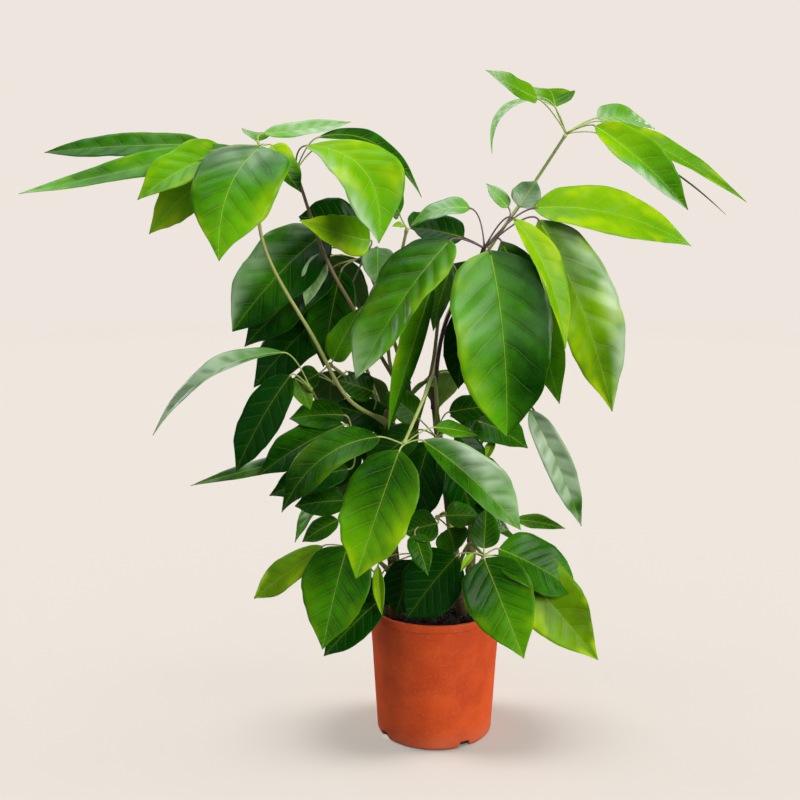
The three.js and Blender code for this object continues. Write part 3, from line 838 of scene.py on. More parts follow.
@dataclass(frozen=True)
class Blade:
    """One leaflet. Lengths are millimetres from its frond's hub, and angles are degrees.

    Its upper face looks to the compass direction facing, and up by rise. Arch and sway are shares of
    its length, skew, teeth and camber shares of its half width, and quilt tells how much it swells
    between its side veins. Left and right are as its face is seen with the tip down. A skew above 0
    makes the left side wider. A side above 0 paints the left side lighter and the right side darker,
    as painted light and shade on a lit and a shaded half. A sheen makes the left side glossy above 0
    and the right side below 0, and it also paints a pale sheen and a little light on that side. The
    tone gives way to tip_tone at the share change of the length.
    """

    base: Point
    tip: Point
    width: float
    facing: float
    arch: float
    fold: float
    outline: Outline
    tone: Tone
    sway: float = 0.0
    skew: float = 0.0
    rise: float = 1.0
    teeth: float = 0.03
    camber: float = 0.1
    sheen: float = 0.0
    side: float = 0.0
    change: float = 0.55
    quilt: float = 1.0
    tip_tone: Tone | None = None

    THICKNESS = 0.5 * MM
    NARROWEST = 0.25 * MM
    # Where along the chord the arch is highest
    CONTROL = 0.42
    # The grid's steps in millimetres, its fewest and most rows, and columns at each side of the midrib,
    # and the power that crowds the columns there
    ROW_STEP = 3.4
    ROWS = (18, 80)
    COLUMN_STEP = 6.5
    HALF_COLUMNS = (4, 10)
    CROWDING = 1.15
    # The fewest and most side veins at each side, and the midrib's ridge under the blade
    VEINS = (6.2, 7.6)
    RIDGE = 0.9 * MM
    RIDGE_REACH = 1.1 * MM
    # How far the edge's waves, the swellings and the billows lift the blade, as shares of its half width,
    # and the fewest and most waves
    WAVE = 0.07
    SWELL = 0.03
    BILLOW = 0.035
    WAVES = (1.6, 2.6)
    # The fewest and most teeth at each side, their least and greatest bite, where along itself a tooth is
    # longest, where the teeth start, and the depth and the count of the edge's soft waves
    TEETH = (5.0, 7.5)
    BITE = (0.5, 1.3)
    TOOTH_PEAK = 0.78
    TEETH_START = 0.38
    SOFT_DEPTH = 0.018
    SOFT_WAVES = (1.5, 3.0)
    # What a full sheen and a full side add to the tone, which paints a pale sheen and a lit and a shaded
    # half, how far it strays, and the length of its turn
    GLEAM = np.array([0.15, -0.1, 0.9])
    LIGHTEN = np.array([1.0, 0.4, 0.0])
    STRAY = 0.06
    TURN = 0.6
    # The stalklet's bend as a share of its reach, its points and sides, and its radius in millimetres
    STALK_BEND = 0.28
    STALK_POINTS = 14
    STALK_SIDES = 10
    STALK_RADIUS = 1.15

    def midrib(self, at: np.ndarray) -> tuple[np.ndarray, np.ndarray, np.ndarray]:
        """The arched midrib, a quadratic curve that rises towards the blade's face.

        Args:
            at: Places from 0 at the base to 1 at the tip.

        Returns:
            Its points, its directions, and the level direction across the blade.
        """
        base, tip = np.array(self.base) * MM, np.array(self.tip) * MM
        chord = tip - base
        along = unit(chord)
        lean = math.radians(self.facing)
        face = np.array([math.cos(lean), math.sin(lean), self.rise])
        face = unit(face - along * (face @ along))
        across = np.cross(along, face)
        length = np.linalg.norm(chord)
        control = base + chord * self.CONTROL + face * self.arch * length + across * self.sway * length
        t = at[:, None]
        points = (1 - t) ** 2 * base + 2 * t * (1 - t) * control + t ** 2 * tip
        directions = unit((1 - t) * (control - base) + t * (tip - control))
        return points, directions, across

    def edge(self, at: np.ndarray, rng: np.random.Generator) -> np.ndarray:
        """Half width of each side: the outline times soft waves and forward teeth in its outer half.

        Args:
            at: Places along the blade.
            rng: The frond's random draws.

        Returns:
            Half widths in metres, one row for the side where s is below 0 and one for the other.
        """
        half = smooth_curve(self.outline.value, at) * self.width / 2 * MM
        count = rng.uniform(*self.TEETH, 2)[:, None]
        shift = rng.uniform(0.0, 1.0, 2)[:, None]
        bite = rng.uniform(*self.BITE, 2)[:, None] * self.teeth
        turn = (at[None] * count + shift) % 1.0
        saw = np.where(turn < self.TOOTH_PEAK, turn / self.TOOTH_PEAK, (1 - turn) / (1 - self.TOOTH_PEAK))
        outer = np.clip((at - self.TEETH_START) / 0.25, 0, 1)
        ripple = rng.uniform(*self.SOFT_WAVES, 2)[:, None]
        soft = self.SOFT_DEPTH * np.sin(2 * np.pi * (at[None] * ripple + shift))
        share = np.array([[1 - self.skew], [1 + self.skew]])
        return np.maximum(share * half[None] * (1 + soft + bite * outer * (saw - 0.6)), self.NARROWEST)

    def lift(self, t: np.ndarray, s: np.ndarray, run: np.ndarray, rng: np.random.Generator) -> np.ndarray:
        """How far the blade rises from its midrib, as a share of its half width.

        It is sin(fold) |s|^1.25 - camber s^2, plus waves at the edge, swellings between the side veins
        and soft billows, which all die out at the base and the tip.

        Args:
            t: Places along the blade, one row each.
            s: Places across it, from -1 to 1, one column each.
            run: The count of side veins passed at each place.
            rng: The frond's random draws.

        Returns:
            The lift at each place.
        """
        size = np.abs(s)
        waves = rng.uniform(*self.WAVES, 2)
        phases = rng.uniform(0, 2 * np.pi, 2)
        minus, plus = (np.sin(2 * np.pi * wave * t + phase) for wave, phase in zip(waves, phases))
        swell = np.cos(2 * np.pi * (run + np.where(s > 0, 0.5, 0.0)))
        billow = sum(np.sin(rng.uniform(2, 7) * t + rng.uniform(-3, 3) * s + rng.uniform(0, 6))
                     for _ in range(3))
        uneven = (self.WAVE * np.where(s < 0, minus, plus) * size ** 2
                  + self.quilt * self.SWELL * swell * size * (1.15 - size)
                  + self.BILLOW * billow * size)
        return (np.sin(np.radians(self.fold)) * size ** 1.25 - self.camber * size ** 2
                + uneven * np.sin(np.pi * t))

    def tones(self, t: np.ndarray, s: np.ndarray, rng: np.random.Generator) -> np.ndarray:
        """The tone attribute: the base's tone that turns to the tip's, with the painted sheen and the
        painted lit and shaded sides.

        Args:
            t: Places along the blade, one row each.
            s: Places across it, from -1 to 1, one column each.
            rng: The frond's random draws.

        Returns:
            The tone at each point, one row each.
        """
        near = np.array(self.tone.value)
        far = np.array((self.tip_tone or self.tone).value)
        turn = np.clip((t[..., None] - self.change) / self.TURN + 0.5, 0, 1)
        across = s[..., None]
        # The sheen paints a pale sheen and a little light on one side, and the side paints one half lit and
        # the other shaded
        gleam = np.clip(self.sheen * across, 0, 1) ** 0.7 * self.GLEAM + self.side * across * self.LIGHTEN
        stray = rng.uniform(-self.STRAY, self.STRAY, 3)
        return np.clip(near + (far - near) * turn + gleam + stray, 0, 1).reshape(-1, 3)

    def shell(self, rng: np.random.Generator) -> Shell:
        """The blade: an upper and an under face over one grid, joined round their rim.

        With s across from -1 to 1 and t along, a point is midrib(t) + across * s * half * cos(fold)
        + face * half * lift(t, s). The under face lies a thickness below the upper one.

        Args:
            rng: The frond's random draws.

        Returns:
            The closed blade.
        """
        length = float(np.linalg.norm(np.subtract(self.tip, self.base))) * MM
        rows = int(np.clip(length / (self.ROW_STEP * MM), *self.ROWS))
        half_columns = int(np.clip(self.width / self.COLUMN_STEP, *self.HALF_COLUMNS))
        places = np.linspace(0, 1, rows)
        t = places[:, None]
        even = np.linspace(-1, 1, 2 * half_columns + 1)[None]
        s = np.sign(even) * np.abs(even) ** self.CROWDING
        centre, along, across = self.midrib(places)
        minus, plus = self.edge(places, rng)[..., None]
        half = np.where(s < 0, minus, plus)
        sideways = s * half * np.cos(np.radians(self.fold))
        reach = np.abs(sideways)
        spacing = length / rng.uniform(*self.VEINS)
        run = (t * length - reach * VEIN_LEAN - reach ** 2 * VEIN_CURVE) / spacing
        lift = half * self.lift(t, s, run, rng)
        face = unit(np.cross(across, along))
        upper = centre[:, None] + across * sideways[..., None] + face[:, None] * lift[..., None]
        normal = unit(np.cross(np.gradient(upper, axis=1), np.gradient(upper, axis=0)))
        ridge = self.RIDGE * np.exp(-(reach / self.RIDGE_REACH) ** 2) * (1 - 0.7 * t)
        depth = self.THICKNESS * (1 - 0.5 * np.abs(s) ** 6) + ridge
        under = upper - normal * depth[..., None]

        count = sideways.size
        index = np.arange(count).reshape(sideways.shape)
        loop = np.concatenate([index[0, :-1], index[:-1, -1], index[-1, :0:-1], index[:0:-1, 0]])
        following = np.roll(loop, -1)
        rim = np.stack([loop, loop + count, following + count, following], axis=1)
        faces = [grid_faces(*index.shape), grid_faces(*index.shape, flip=True) + count, rim]

        share, size, gap = np.broadcast_arrays(t, np.abs(s), spacing)
        uv = np.stack([0.5 + sideways / UV_SPAN, share * length / UV_SPAN], axis=-1).reshape(-1, 2)
        place = np.stack([share, size, gap], axis=-1).reshape(-1, 3)
        points = np.concatenate([upper.reshape(-1, 3), under.reshape(-1, 3)])
        return Shell(points, faces, [Slot.TOP, Slot.UNDER, Slot.UNDER], np.tile(uv, (2, 1)),
                     np.tile(place, (2, 1)), np.tile(self.tones(t, s, rng), (2, 1)))

    def stalk(self, tone: Colour) -> Shell:
        """The stalklet from the hub to a little way under the blade, swollen at both ends.

        Args:
            tone: The tone attribute.

        Returns:
            The closed stalklet.
        """
        inner, directions, _ = self.midrib(np.array([0.0, 0.03]))
        base = inner[0]
        bend = base - directions[0] * np.linalg.norm(base) * self.STALK_BEND
        t = np.linspace(0, 1, self.STALK_POINTS)[:, None]
        path = np.vstack([2 * t * (1 - t) * bend + t ** 2 * base, inner[1:]])
        share = np.linspace(0, 1, len(path))
        swollen = 0.7 * np.exp(-(share / 0.08) ** 2) + 0.35 * np.exp(-((1 - share) / 0.12) ** 2)
        radii = (self.STALK_RADIUS + swollen) * MM
        radii[-1] *= 0.5
        return tube(path, radii * min(1.0, 0.7 + self.width / 250), self.STALK_SIDES, Slot.STALK, tone)


@dataclass(frozen=True)
class Whorl:
    """Leaflets that spread evenly over an arc of compass directions, every third one shorter.

    Lengths are millimetres, and angles are degrees.
    """

    count: int
    start: float
    end: float
    reach: float
    droop: float
    width: float

    STALK = 38.0
    LIFT = 0.3
    SHORTEST = 0.84
    ARCH = 0.16
    FOLD = 14.0

    def blades(self) -> list[Blade]:
        """Spreads the leaflets.

        Returns:
            The whorl's leaflets.
        """
        made = []
        for index in range(self.count):
            compass = self.start + (self.end - self.start) * index / (self.count - 1)
            share = self.SHORTEST if index % 3 == 1 else 1.0
            east, north = math.cos(math.radians(compass)), math.sin(math.radians(compass))
            base = (east * self.STALK, north * self.STALK, self.STALK * self.LIFT)
            fall = -self.droop * (1 if index % 2 else self.SHORTEST)
            tip = (east * self.reach * share, north * self.reach * share, fall)
            outline = Outline.OBLONG if index % 2 else Outline.OVATE
            tone = (Tone.MID, Tone.DEEP, Tone.BRIGHT)[index % 3]
            made.append(Blade(base, tip, self.width * share, compass, self.ARCH, self.FOLD, outline, tone))
        return made


@dataclass
class Stem:
    """A stem that stands in the soil. Its points and radii are in millimetres.

    Its leaf scars are in the span scar_span of its length, and scar_reach is a share of it too.
    """

    name: str
    points: list[Point]
    radius: float = 7.5
    top_radius: float = 4.6
    scars: int = 7
    scar_height: float = 0.9
    scar_reach: float = 0.006
    scar_span: tuple[float, float] = (0.2, 0.97)
    ripple: float = 0.25
    sides: int = 20
    rings: int = 150

    def at_height(self, height: float) -> np.ndarray:
        """The point of the axis at a height in millimetres."""
        path = route(np.array(self.points) * MM, 200)
        return np.array([np.interp(height * MM, path[:, 2], path[:, axis]) for axis in range(3)])

    def build(self, rng: np.random.Generator, material: bpy.types.Material) -> bpy.types.Object:
        """A tapered rod with a raised scar wherever a leaf once grew.

        Args:
            rng: The stem's random draws.
            material: The bark.

        Returns:
            The stem's piece.
        """
        path = route(np.array(self.points) * MM, self.rings)
        share = np.linspace(0, 1, self.rings)
        radii = self.radius + (self.top_radius - self.radius) * share
        scars = np.sort(rng.uniform(*self.scar_span, self.scars))
        raised = np.exp(-((share[:, None] - scars[None]) / self.scar_reach) ** 2).sum(axis=1)
        radii = radii + self.scar_height * raised + self.ripple * np.sin(share * 40 + rng.uniform(0, 6))
        radii[-3:] *= np.array([0.97, 0.8, 0.4])
        shell = tube(path, radii * MM, self.sides, 0, NONE)
        return shell.piece(f"{self.name}_bark", [material], self.name, "stem")


@dataclass
class Frond:
    """A compound leaf: its petiole, the hub at the petiole's end, and its leaflets.

    The petiole leaves its stem at the height start and runs through the points via to its hub. It is
    swollen by sheath where it clasps the stem and by knob at the hub. Lengths are in millimetres.
    """

    name: str
    stem: str
    start: float
    via: list[Point]
    hub: Point
    bark: Bark
    blades: list[Blade] = field(default_factory=list)
    radius: float = 2.9
    end_radius: float = 2.1
    sheath: float = 3.2
    sheath_reach: float = 16.0
    knob: float = 1.5
    knob_reach: float = 5.0
    sides: int = 14
    rings: int = 90

    def petiole(self, stems: dict[str, Stem]) -> Shell:
        """The petiole, with a sheath that clasps the stem and a swollen hub.

        Args:
            stems: The stems by name.

        Returns:
            The closed petiole.
        """
        foot = stems[self.stem].at_height(self.start)
        path = route(np.vstack([foot, np.array(self.via) * MM, np.array(self.hub) * MM]), self.rings)
        away = lengths(path)
        left = away[-1] - away
        radii = (np.interp(away / away[-1], [0, 1], [self.radius, self.end_radius])
                 + self.sheath * np.exp(-(away / (self.sheath_reach * MM)) ** 2)
                 + self.knob * np.exp(-(left / (self.knob_reach * MM)) ** 2))
        radii[-1] *= 0.7
        return tube(path, radii * MM, self.sides, Slot.STALK, self.bark.value)

    def build(self, stems: dict[str, Stem], materials: list[bpy.types.Material]) -> bpy.types.Object:
        """Joins the petiole, the stalklets and the blades in one piece.

        Args:
            stems: The stems by name.
            materials: The upper face's, the underside's and the stalk's material.

        Returns:
            The frond's piece.
        """
        rng = np.random.default_rng([ord(letter) for letter in self.name])
        brown, purple, _ = self.bark.value
        skin = (brown * 0.5, purple * 0.8, 0.5 * (1 - purple))
        shells = [self.petiole(stems)]
        for blade in self.blades:
            for part in (blade.stalk(skin), blade.shell(rng)):
                part.points = part.points + np.array(self.hub) * MM
                shells.append(part)
        return Shell.join(shells).piece(f"{self.name}_leaflets", materials, self.name, "leaf")


@dataclass
class Pot:
    """The nursery pot: a tapered wall with a rolled lip, a flat floor and notches at its foot.

    Angles are in degrees. An edge sharper than the angle crease is drawn sharp.
    """

    height: float = 188 * MM
    rim: float = 95 * MM
    foot: float = 81.4 * MM
    foot_round: float = 4 * MM
    wall: float = 2.6 * MM
    floor: float = 3 * MM
    lip_reach: float = 2.4 * MM
    lip_depth: float = 11 * MM
    lip_round: float = 1.9 * MM
    lip_fillet: float = 1.2 * MM
    lip_flat: float = 3 * MM
    axis_gap: float = 0.4 * MM
    notches: int = 4
    first_notch: float = -60.0
    notch_width: float = 20 * MM
    notch_height: float = 9 * MM
    notch_depth: float = 14 * MM
    notch_slant: float = 3 * MM
    sides: int = 168
    wall_rings: int = 24
    arc_points: int = 7
    crease: float = 35.0

    def wall_radius(self, height: float) -> float:
        """The wall's outer radius at a height."""
        return self.foot + (self.rim - self.lip_reach - self.foot) * height / self.height

    def arc(self, centre: tuple[float, float], radius: float, start: float, end: float) -> np.ndarray:
        """Points on an arc of the profile, its angles in degrees."""
        angle = np.radians(np.linspace(start, end, self.arc_points))
        return np.stack([centre[0] + radius * np.cos(angle), centre[1] + radius * np.sin(angle)], axis=1)

    def profile(self) -> np.ndarray:
        """The pot's section from the middle of its underside round to the middle of its floor.

        Returns:
            Pairs of radius and height.
        """
        lip_foot = self.height - self.lip_depth
        inner = self.wall_radius(self.height) - self.wall
        turn, fillet = self.lip_round, self.lip_fillet
        heights = np.linspace(self.foot_round, lip_foot - fillet, self.wall_rings)
        outside = np.stack([self.wall_radius(heights), heights], axis=1)
        return np.vstack([
            [[self.axis_gap, 0], [self.foot * 0.5, 0]],
            self.arc((self.foot - self.foot_round, self.foot_round), self.foot_round, -90, -2),
            outside,
            self.arc((self.rim - fillet, lip_foot + fillet), fillet, -60, 0),
            [[self.rim, self.height - turn - self.lip_flat]],
            self.arc((self.rim - turn, self.height - turn), turn, 0, 90),
            self.arc((inner + turn, self.height - turn), turn, 90, 180),
            (outside - [self.wall, 0])[::-1],
            [[self.wall_radius(self.floor) - self.wall, self.floor], [self.axis_gap, self.floor]],
        ])

    def notch(self, turn: float) -> bpy.types.Object:
        """A wedge that cuts one notch.

        Args:
            turn: How far it is turned about the pot's axis, in degrees.

        Returns:
            The wedge.
        """
        wide, narrow = self.notch_width / 2, self.notch_width / 2 - self.notch_slant
        low, high = -self.floor, self.notch_height
        section = np.array([[-wide, low], [wide, low], [narrow, high], [-narrow, high]])
        near, far = self.foot - self.notch_depth, self.foot + self.notch_depth
        points = np.array([[x, -y, z] for y in (near, far) for x, z in section])
        angle = math.radians(turn)
        spin = np.array([[math.cos(angle), math.sin(angle), 0], [-math.sin(angle), math.cos(angle), 0],
                         [0, 0, 1]])
        faces = [(3, 2, 1, 0), (4, 5, 6, 7), (0, 1, 5, 4), (1, 2, 6, 5), (2, 3, 7, 6), (3, 0, 4, 7)]
        mesh = bpy.data.meshes.new("notch")
        mesh.from_pydata((points @ spin).tolist(), [], faces)
        cutter = bpy.data.objects.new("notch", mesh)
        bpy.context.scene.collection.objects.link(cutter)
        return cutter

    def build(self, material: bpy.types.Material) -> bpy.types.Object:
        """Turns the profile on its axis and cuts the notches out of it.

        Args:
            material: The plastic.

        Returns:
            The pot's piece.
        """
        radius, height = self.profile().T
        points = turned(radius, height, self.sides).reshape(-1, 3)
        shell = Shell.plain(points, ring_faces(len(radius), self.sides))
        piece = shell.piece("pot_shell", [material], "pot", "pot_plastic")
        step = 360 / self.notches
        cutters = [self.notch(self.first_notch + step * index) for index in range(self.notches)]
        for cutter in cutters:
            cut = piece.modifiers.new("cut", "BOOLEAN")
            cut.operation = "DIFFERENCE"
            cut.solver = "EXACT"
            cut.object = cutter
        evaluated = piece.evaluated_get(bpy.context.evaluated_depsgraph_get())
        mesh = bpy.data.meshes.new_from_object(evaluated)
        piece.modifiers.clear()
        piece.data = mesh
        mesh.set_sharp_from_angle(angle=math.radians(self.crease))
        for cutter in cutters:
            bpy.data.objects.remove(cutter)
        return piece


@dataclass
class Soil:
    """The soil that fills the pot, crumbly on top, with loose crumbs lying on it.

    A crumb's size is its least and greatest radius in millimetres, and its rings are at angles in
    degrees from its top.
    """

    pot: Pot
    top: float = 172 * MM
    crown: float = 3 * MM
    sag: float = 1.5 * MM
    gap: float = 0.3 * MM
    rings: int = 46
    sides: int = 150
    waves: int = 24
    longest_wave: float = 50 * MM
    wave_height: float = 1.1 * MM
    shorten: float = 0.86
    lower: float = 0.93
    crumbs: int = 420
    crumb_size: tuple[float, float] = (1.2, 3.6)
    crumb_rise: float = 2.5 * MM
    crumb_spread: float = 0.96
    crumb_squash: float = 0.7
    crumb_lumps: tuple[float, float] = (0.7, 1.25)
    crumb_rings: tuple[float, ...] = (12.0, 55.0, 100.0, 168.0)
    crumb_sides: int = 8
    seed: int = 172

    def reach(self, height: float) -> float:
        """The soil's radius at a height."""
        return self.pot.wall_radius(height) - self.pot.wall - self.gap

    def relief(self, x: np.ndarray, y: np.ndarray, rng: np.random.Generator) -> np.ndarray:
        """Lumps on the soil: a sum of seeded waves, each shorter and lower than the last.

        Args:
            x: Places across, in metres.
            y: Places in depth, in metres.
            rng: The soil's random draws.

        Returns:
            Heights in metres.
        """
        total = np.zeros_like(x)
        for step in range(self.waves):
            length = self.longest_wave * self.shorten ** step
            angle, phase = rng.uniform(0, 2 * np.pi, 2)
            wave = np.sin(2 * np.pi * (x * math.cos(angle) + y * math.sin(angle)) / length + phase)
            total = total + wave * self.wave_height * self.lower ** step
        return total

    def crumb_shells(self, rng: np.random.Generator) -> Shell:
        """Loose crumbs: squashed, lumpy balls of a few rings each.

        Args:
            rng: The soil's random draws.

        Returns:
            All crumbs as one shell.
        """
        count, rings, sides = self.crumbs, len(self.crumb_rings), self.crumb_sides
        angle = rng.uniform(0, 2 * np.pi, count)
        reach = np.sqrt(rng.uniform(0, 1, count)) * self.reach(self.top) * self.crumb_spread
        centre = np.stack([reach * np.cos(angle), reach * np.sin(angle),
                           np.full(count, self.top + self.crumb_rise)], axis=1)
        size = rng.uniform(*self.crumb_size, count)[:, None, None, None] * MM
        polar = np.radians(self.crumb_rings)
        ball = turned(np.sin(polar), self.crumb_squash * np.cos(polar), sides)
        lump = rng.uniform(*self.crumb_lumps, (count, rings, sides, 1))
        points = centre[:, None, None] + ball[None] * size * lump
        starts = (np.arange(count) * rings * sides)[:, None, None]
        faces = [(group[None] + starts).reshape(-1, group.shape[1])
                 for group in ring_faces(rings, sides, flip=True)]
        return Shell.plain(points.reshape(-1, 3), faces)

    def build(self, material: bpy.types.Material) -> bpy.types.Object:
        """The soil's body, turned on its axis with a lumpy top, and its crumbs.

        Args:
            material: The earth.

        Returns:
            The soil's piece.
        """
        rng = np.random.default_rng(self.seed)
        bottom = self.pot.floor + self.gap
        top_reach = self.reach(self.top)
        radius = np.concatenate([np.linspace(0.004, 1, self.rings) * top_reach,
                                 [self.reach(bottom), 0.5 * MM]])
        dome = self.crown * (1 - (radius / top_reach) ** 2)
        points = turned(radius, self.top - self.sag + dome, self.sides)
        points[..., 2] += self.relief(points[..., 0], points[..., 1], rng)
        points[-2:, :, 2] = bottom
        body = Shell.plain(points.reshape(-1, 3), ring_faces(len(radius), self.sides, flip=True))
        return Shell.join([body, self.crumb_shells(rng)]).piece("soil_crumbs", [material], "soil", "soil")


class Reach(Enum):
    """The objects that a light lights, or that shade it: the set's name, its state and its members.

    A set with the state EXCLUDE holds every object but its members.
    """

    LEAVES = ("all_but_floor_and_pot", "EXCLUDE", ("floor", "pot"))
    PLANT = ("all_but_floor", "EXCLUDE", ("floor",))
    FLOOR = ("floor_only", "INCLUDE", ("floor",))
    POT = ("pot_only", "INCLUDE", ("pot",))
    BELOW_CROWN = ("all_but_crown", "EXCLUDE", ("crown",))


@dataclass(frozen=True)
class Lamp:
    """A distant soft light.

    It lies in the direction towards and spans spread degrees, and its power is in watts for a square
    metre. It lights what lit says, and shading says what throws shadows in it.
    """

    name: str
    towards: Point
    spread: float
    power: float
    colour: Colour
    lit: Reach
    shading: Reach | None = None

    def build(self, sets: dict[Reach, bpy.types.Collection]) -> None:
        """Makes the light and links it to what it lights and what shades it.

        Args:
            sets: The sets of objects.
        """
        data = bpy.data.lights.new(self.name, "SUN")
        data.angle = math.radians(self.spread)
        data.energy = self.power
        data.color = self.colour
        holder = bpy.data.objects.new(self.name, data)
        holder.rotation_euler = Vector(self.towards).to_track_quat("Z", "Y").to_euler()
        holder.light_linking.receiver_collection = sets[self.lit]
        holder.light_linking.blocker_collection = sets[self.shading] if self.shading else None
        bpy.context.scene.collection.objects.link(holder)


@dataclass
class Studio:
    """The pale sweep, the soft lights and the camera."""

    camera_place: Point = (-0.0495, -1.8, 0.865)
    pitch: float = 12.05
    focal_pixels: float = 1339.0
    frame_pixels: float = 800.0
    sensor: float = 36.0
    floor_reach: float = 3.5
    cove: float = 1.5
    wall_height: float = 7.0
    floor_rings: int = 12
    cove_rings: int = 18
    sides: int = 96
    sky: float = 0.28

    def sweep(self) -> bpy.types.Object:
        """A round floor that curves up into a plain wall all round.

        The wall glows evenly, the lights pass through it, and it sends no light back to the plant.

        Returns:
            The floor's object.
        """
        turn = np.radians(np.linspace(0, 90, self.cove_rings + 1))[1:]
        reach = np.concatenate([np.linspace(0.01, self.floor_reach, self.floor_rings),
                                self.floor_reach + self.cove * np.sin(turn), [self.floor_reach + self.cove]])
        rise = np.concatenate([np.zeros(self.floor_rings), self.cove - self.cove * np.cos(turn),
                               [self.wall_height]])
        points = turned(reach, rise, self.sides).reshape(-1, 3)
        quads, ends = ring_faces(len(rise), self.sides, flip=True)
        mesh = bpy.data.meshes.new("studio_sweep")
        mesh.from_pydata(points.tolist(), [], quads.tolist() + ends[:1].tolist())
        mesh.shade_smooth()
        mesh.materials.append(SWEEP.material())
        floor = bpy.data.objects.new("studio_sweep", mesh)
        floor.visible_diffuse = False
        floor.visible_glossy = False
        floor.visible_shadow = False
        bpy.context.scene.collection.objects.link(floor)
        return floor

    def lights(self, **objects: bpy.types.Object) -> None:
        """Lights the plant, the pot and the floor, each with lights of its own, under an even sky.

        Args:
            objects: The floor, the pot and the crown, which is the top frond, by these names.
        """
        sets = {}
        for reach in Reach:
            name, state, members = reach.value
            sets[reach] = bpy.data.collections.new(name)
            for index, member in enumerate(members):
                sets[reach].objects.link(objects[member])
                sets[reach].collection_objects[index].light_linking.link_state = state
        for lamp in LAMPS:
            lamp.build(sets)
        world = bpy.data.worlds.new("studio_sky")
        world.use_nodes = True
        background = world.node_tree.nodes["Background"]
        background.inputs["Color"].default_value = (1.0, 1.0, 1.0, 1.0)
        background.inputs["Strength"].default_value = self.sky
        world.cycles_visibility.glossy = False
        bpy.context.scene.world = world
        bpy.context.scene.view_settings.view_transform = "Standard"

    def camera(self) -> None:
        """The camera, level across and pitched down a little."""
        data = bpy.data.cameras.new("studio_camera")
        data.sensor_width = self.sensor
        data.lens = self.focal_pixels / self.frame_pixels * self.sensor
        holder = bpy.data.objects.new("studio_camera", data)
        holder.location = self.camera_place
        holder.rotation_euler = (math.radians(90 - self.pitch), 0, 0)
        bpy.context.scene.collection.objects.link(holder)
        bpy.context.scene.camera = holder


WHITE = (1.0, 1.0, 1.0)
WARM = (1.0, 0.98, 0.94)
COOL = (0.88, 0.95, 1.0)
PALE_COOL = (0.95, 0.98, 1.0)
ROSY = (1.0, 0.935, 0.93)
# The leaves and the stems have a key light above the right front, which passes the crown, a cool one
# overhead, a weak one from the left, and two from behind that draw their edges. The last three light
# the pot's edges too, and it has a key and two more edge lights of its own. Four lights are for the
# floor alone, where the pot throws its soft shadow to the left and the right.
LAMPS = [
    Lamp("key_light", (0.7, -0.75, 0.62), 38, 3.6, WARM, Reach.LEAVES, Reach.BELOW_CROWN),
    Lamp("pot_key_light", (0.78, -0.7, 0.35), 30, 2.55, WARM, Reach.POT, Reach.POT),
    Lamp("top_light", (-0.3, 0.3, 1.0), 50, 2.0, COOL, Reach.PLANT),
    Lamp("fill_light", (-0.8, -0.6, 0.4), 60, 0.35, PALE_COOL, Reach.PLANT),
    Lamp("edge_light_left", (-0.8, 0.75, 0.3), 16, 0.5, WHITE, Reach.PLANT),
    Lamp("edge_light_right", (0.8, 0.75, 0.3), 16, 0.7, WHITE, Reach.PLANT),
    Lamp("pot_edge_light_left", (-0.7, 0.8, 0.12), 14, 0.6, WHITE, Reach.POT, Reach.POT),
    Lamp("pot_edge_light_right", (0.75, 0.75, 0.12), 14, 1.2, WHITE, Reach.POT, Reach.POT),
    Lamp("floor_light_right", (0.8, 0.13, 0.9), 22, 0.96, ROSY, Reach.FLOOR, Reach.POT),
    Lamp("floor_light_left", (-0.82, 0.13, 0.9), 22, 1.02, ROSY, Reach.FLOOR, Reach.POT),
    Lamp("floor_light_high_right", (0.4, 0.13, 0.95), 22, 1.26, ROSY, Reach.FLOOR, Reach.POT),
    Lamp("floor_light_high_left", (-0.4, 0.13, 0.95), 22, 1.26, ROSY, Reach.FLOOR, Reach.POT),
]
# The stems, each through its points from the bottom of its hole in the soil to its top, in millimetres
STEMS = [
    Stem("stem_1", [(-55, -20, 112), (-62, -15, 300), (-68, -12, 470)]),
    Stem("stem_2", [(0, 35, 112), (-20, 28, 300), (-40, 22, 505)]),
    Stem("stem_3", [(45, -18, 112), (25, -14, 280), (-8, -4, 515)]),
    Stem("stem_4", [(50, 38, 112), (54, 36, 300), (62, 62, 520)]),
    Stem("stem_5", [(-45, 45, 112), (-62, 52, 300), (-70, 58, 445)]),
]
# Short names for the rows below
O, V, B, L, F = Outline
FRESH, BRIGHT, MID, DEEP, DARK, BLACK, OLIVE, GREY, PALE, SATIN, GLAZED = Tone
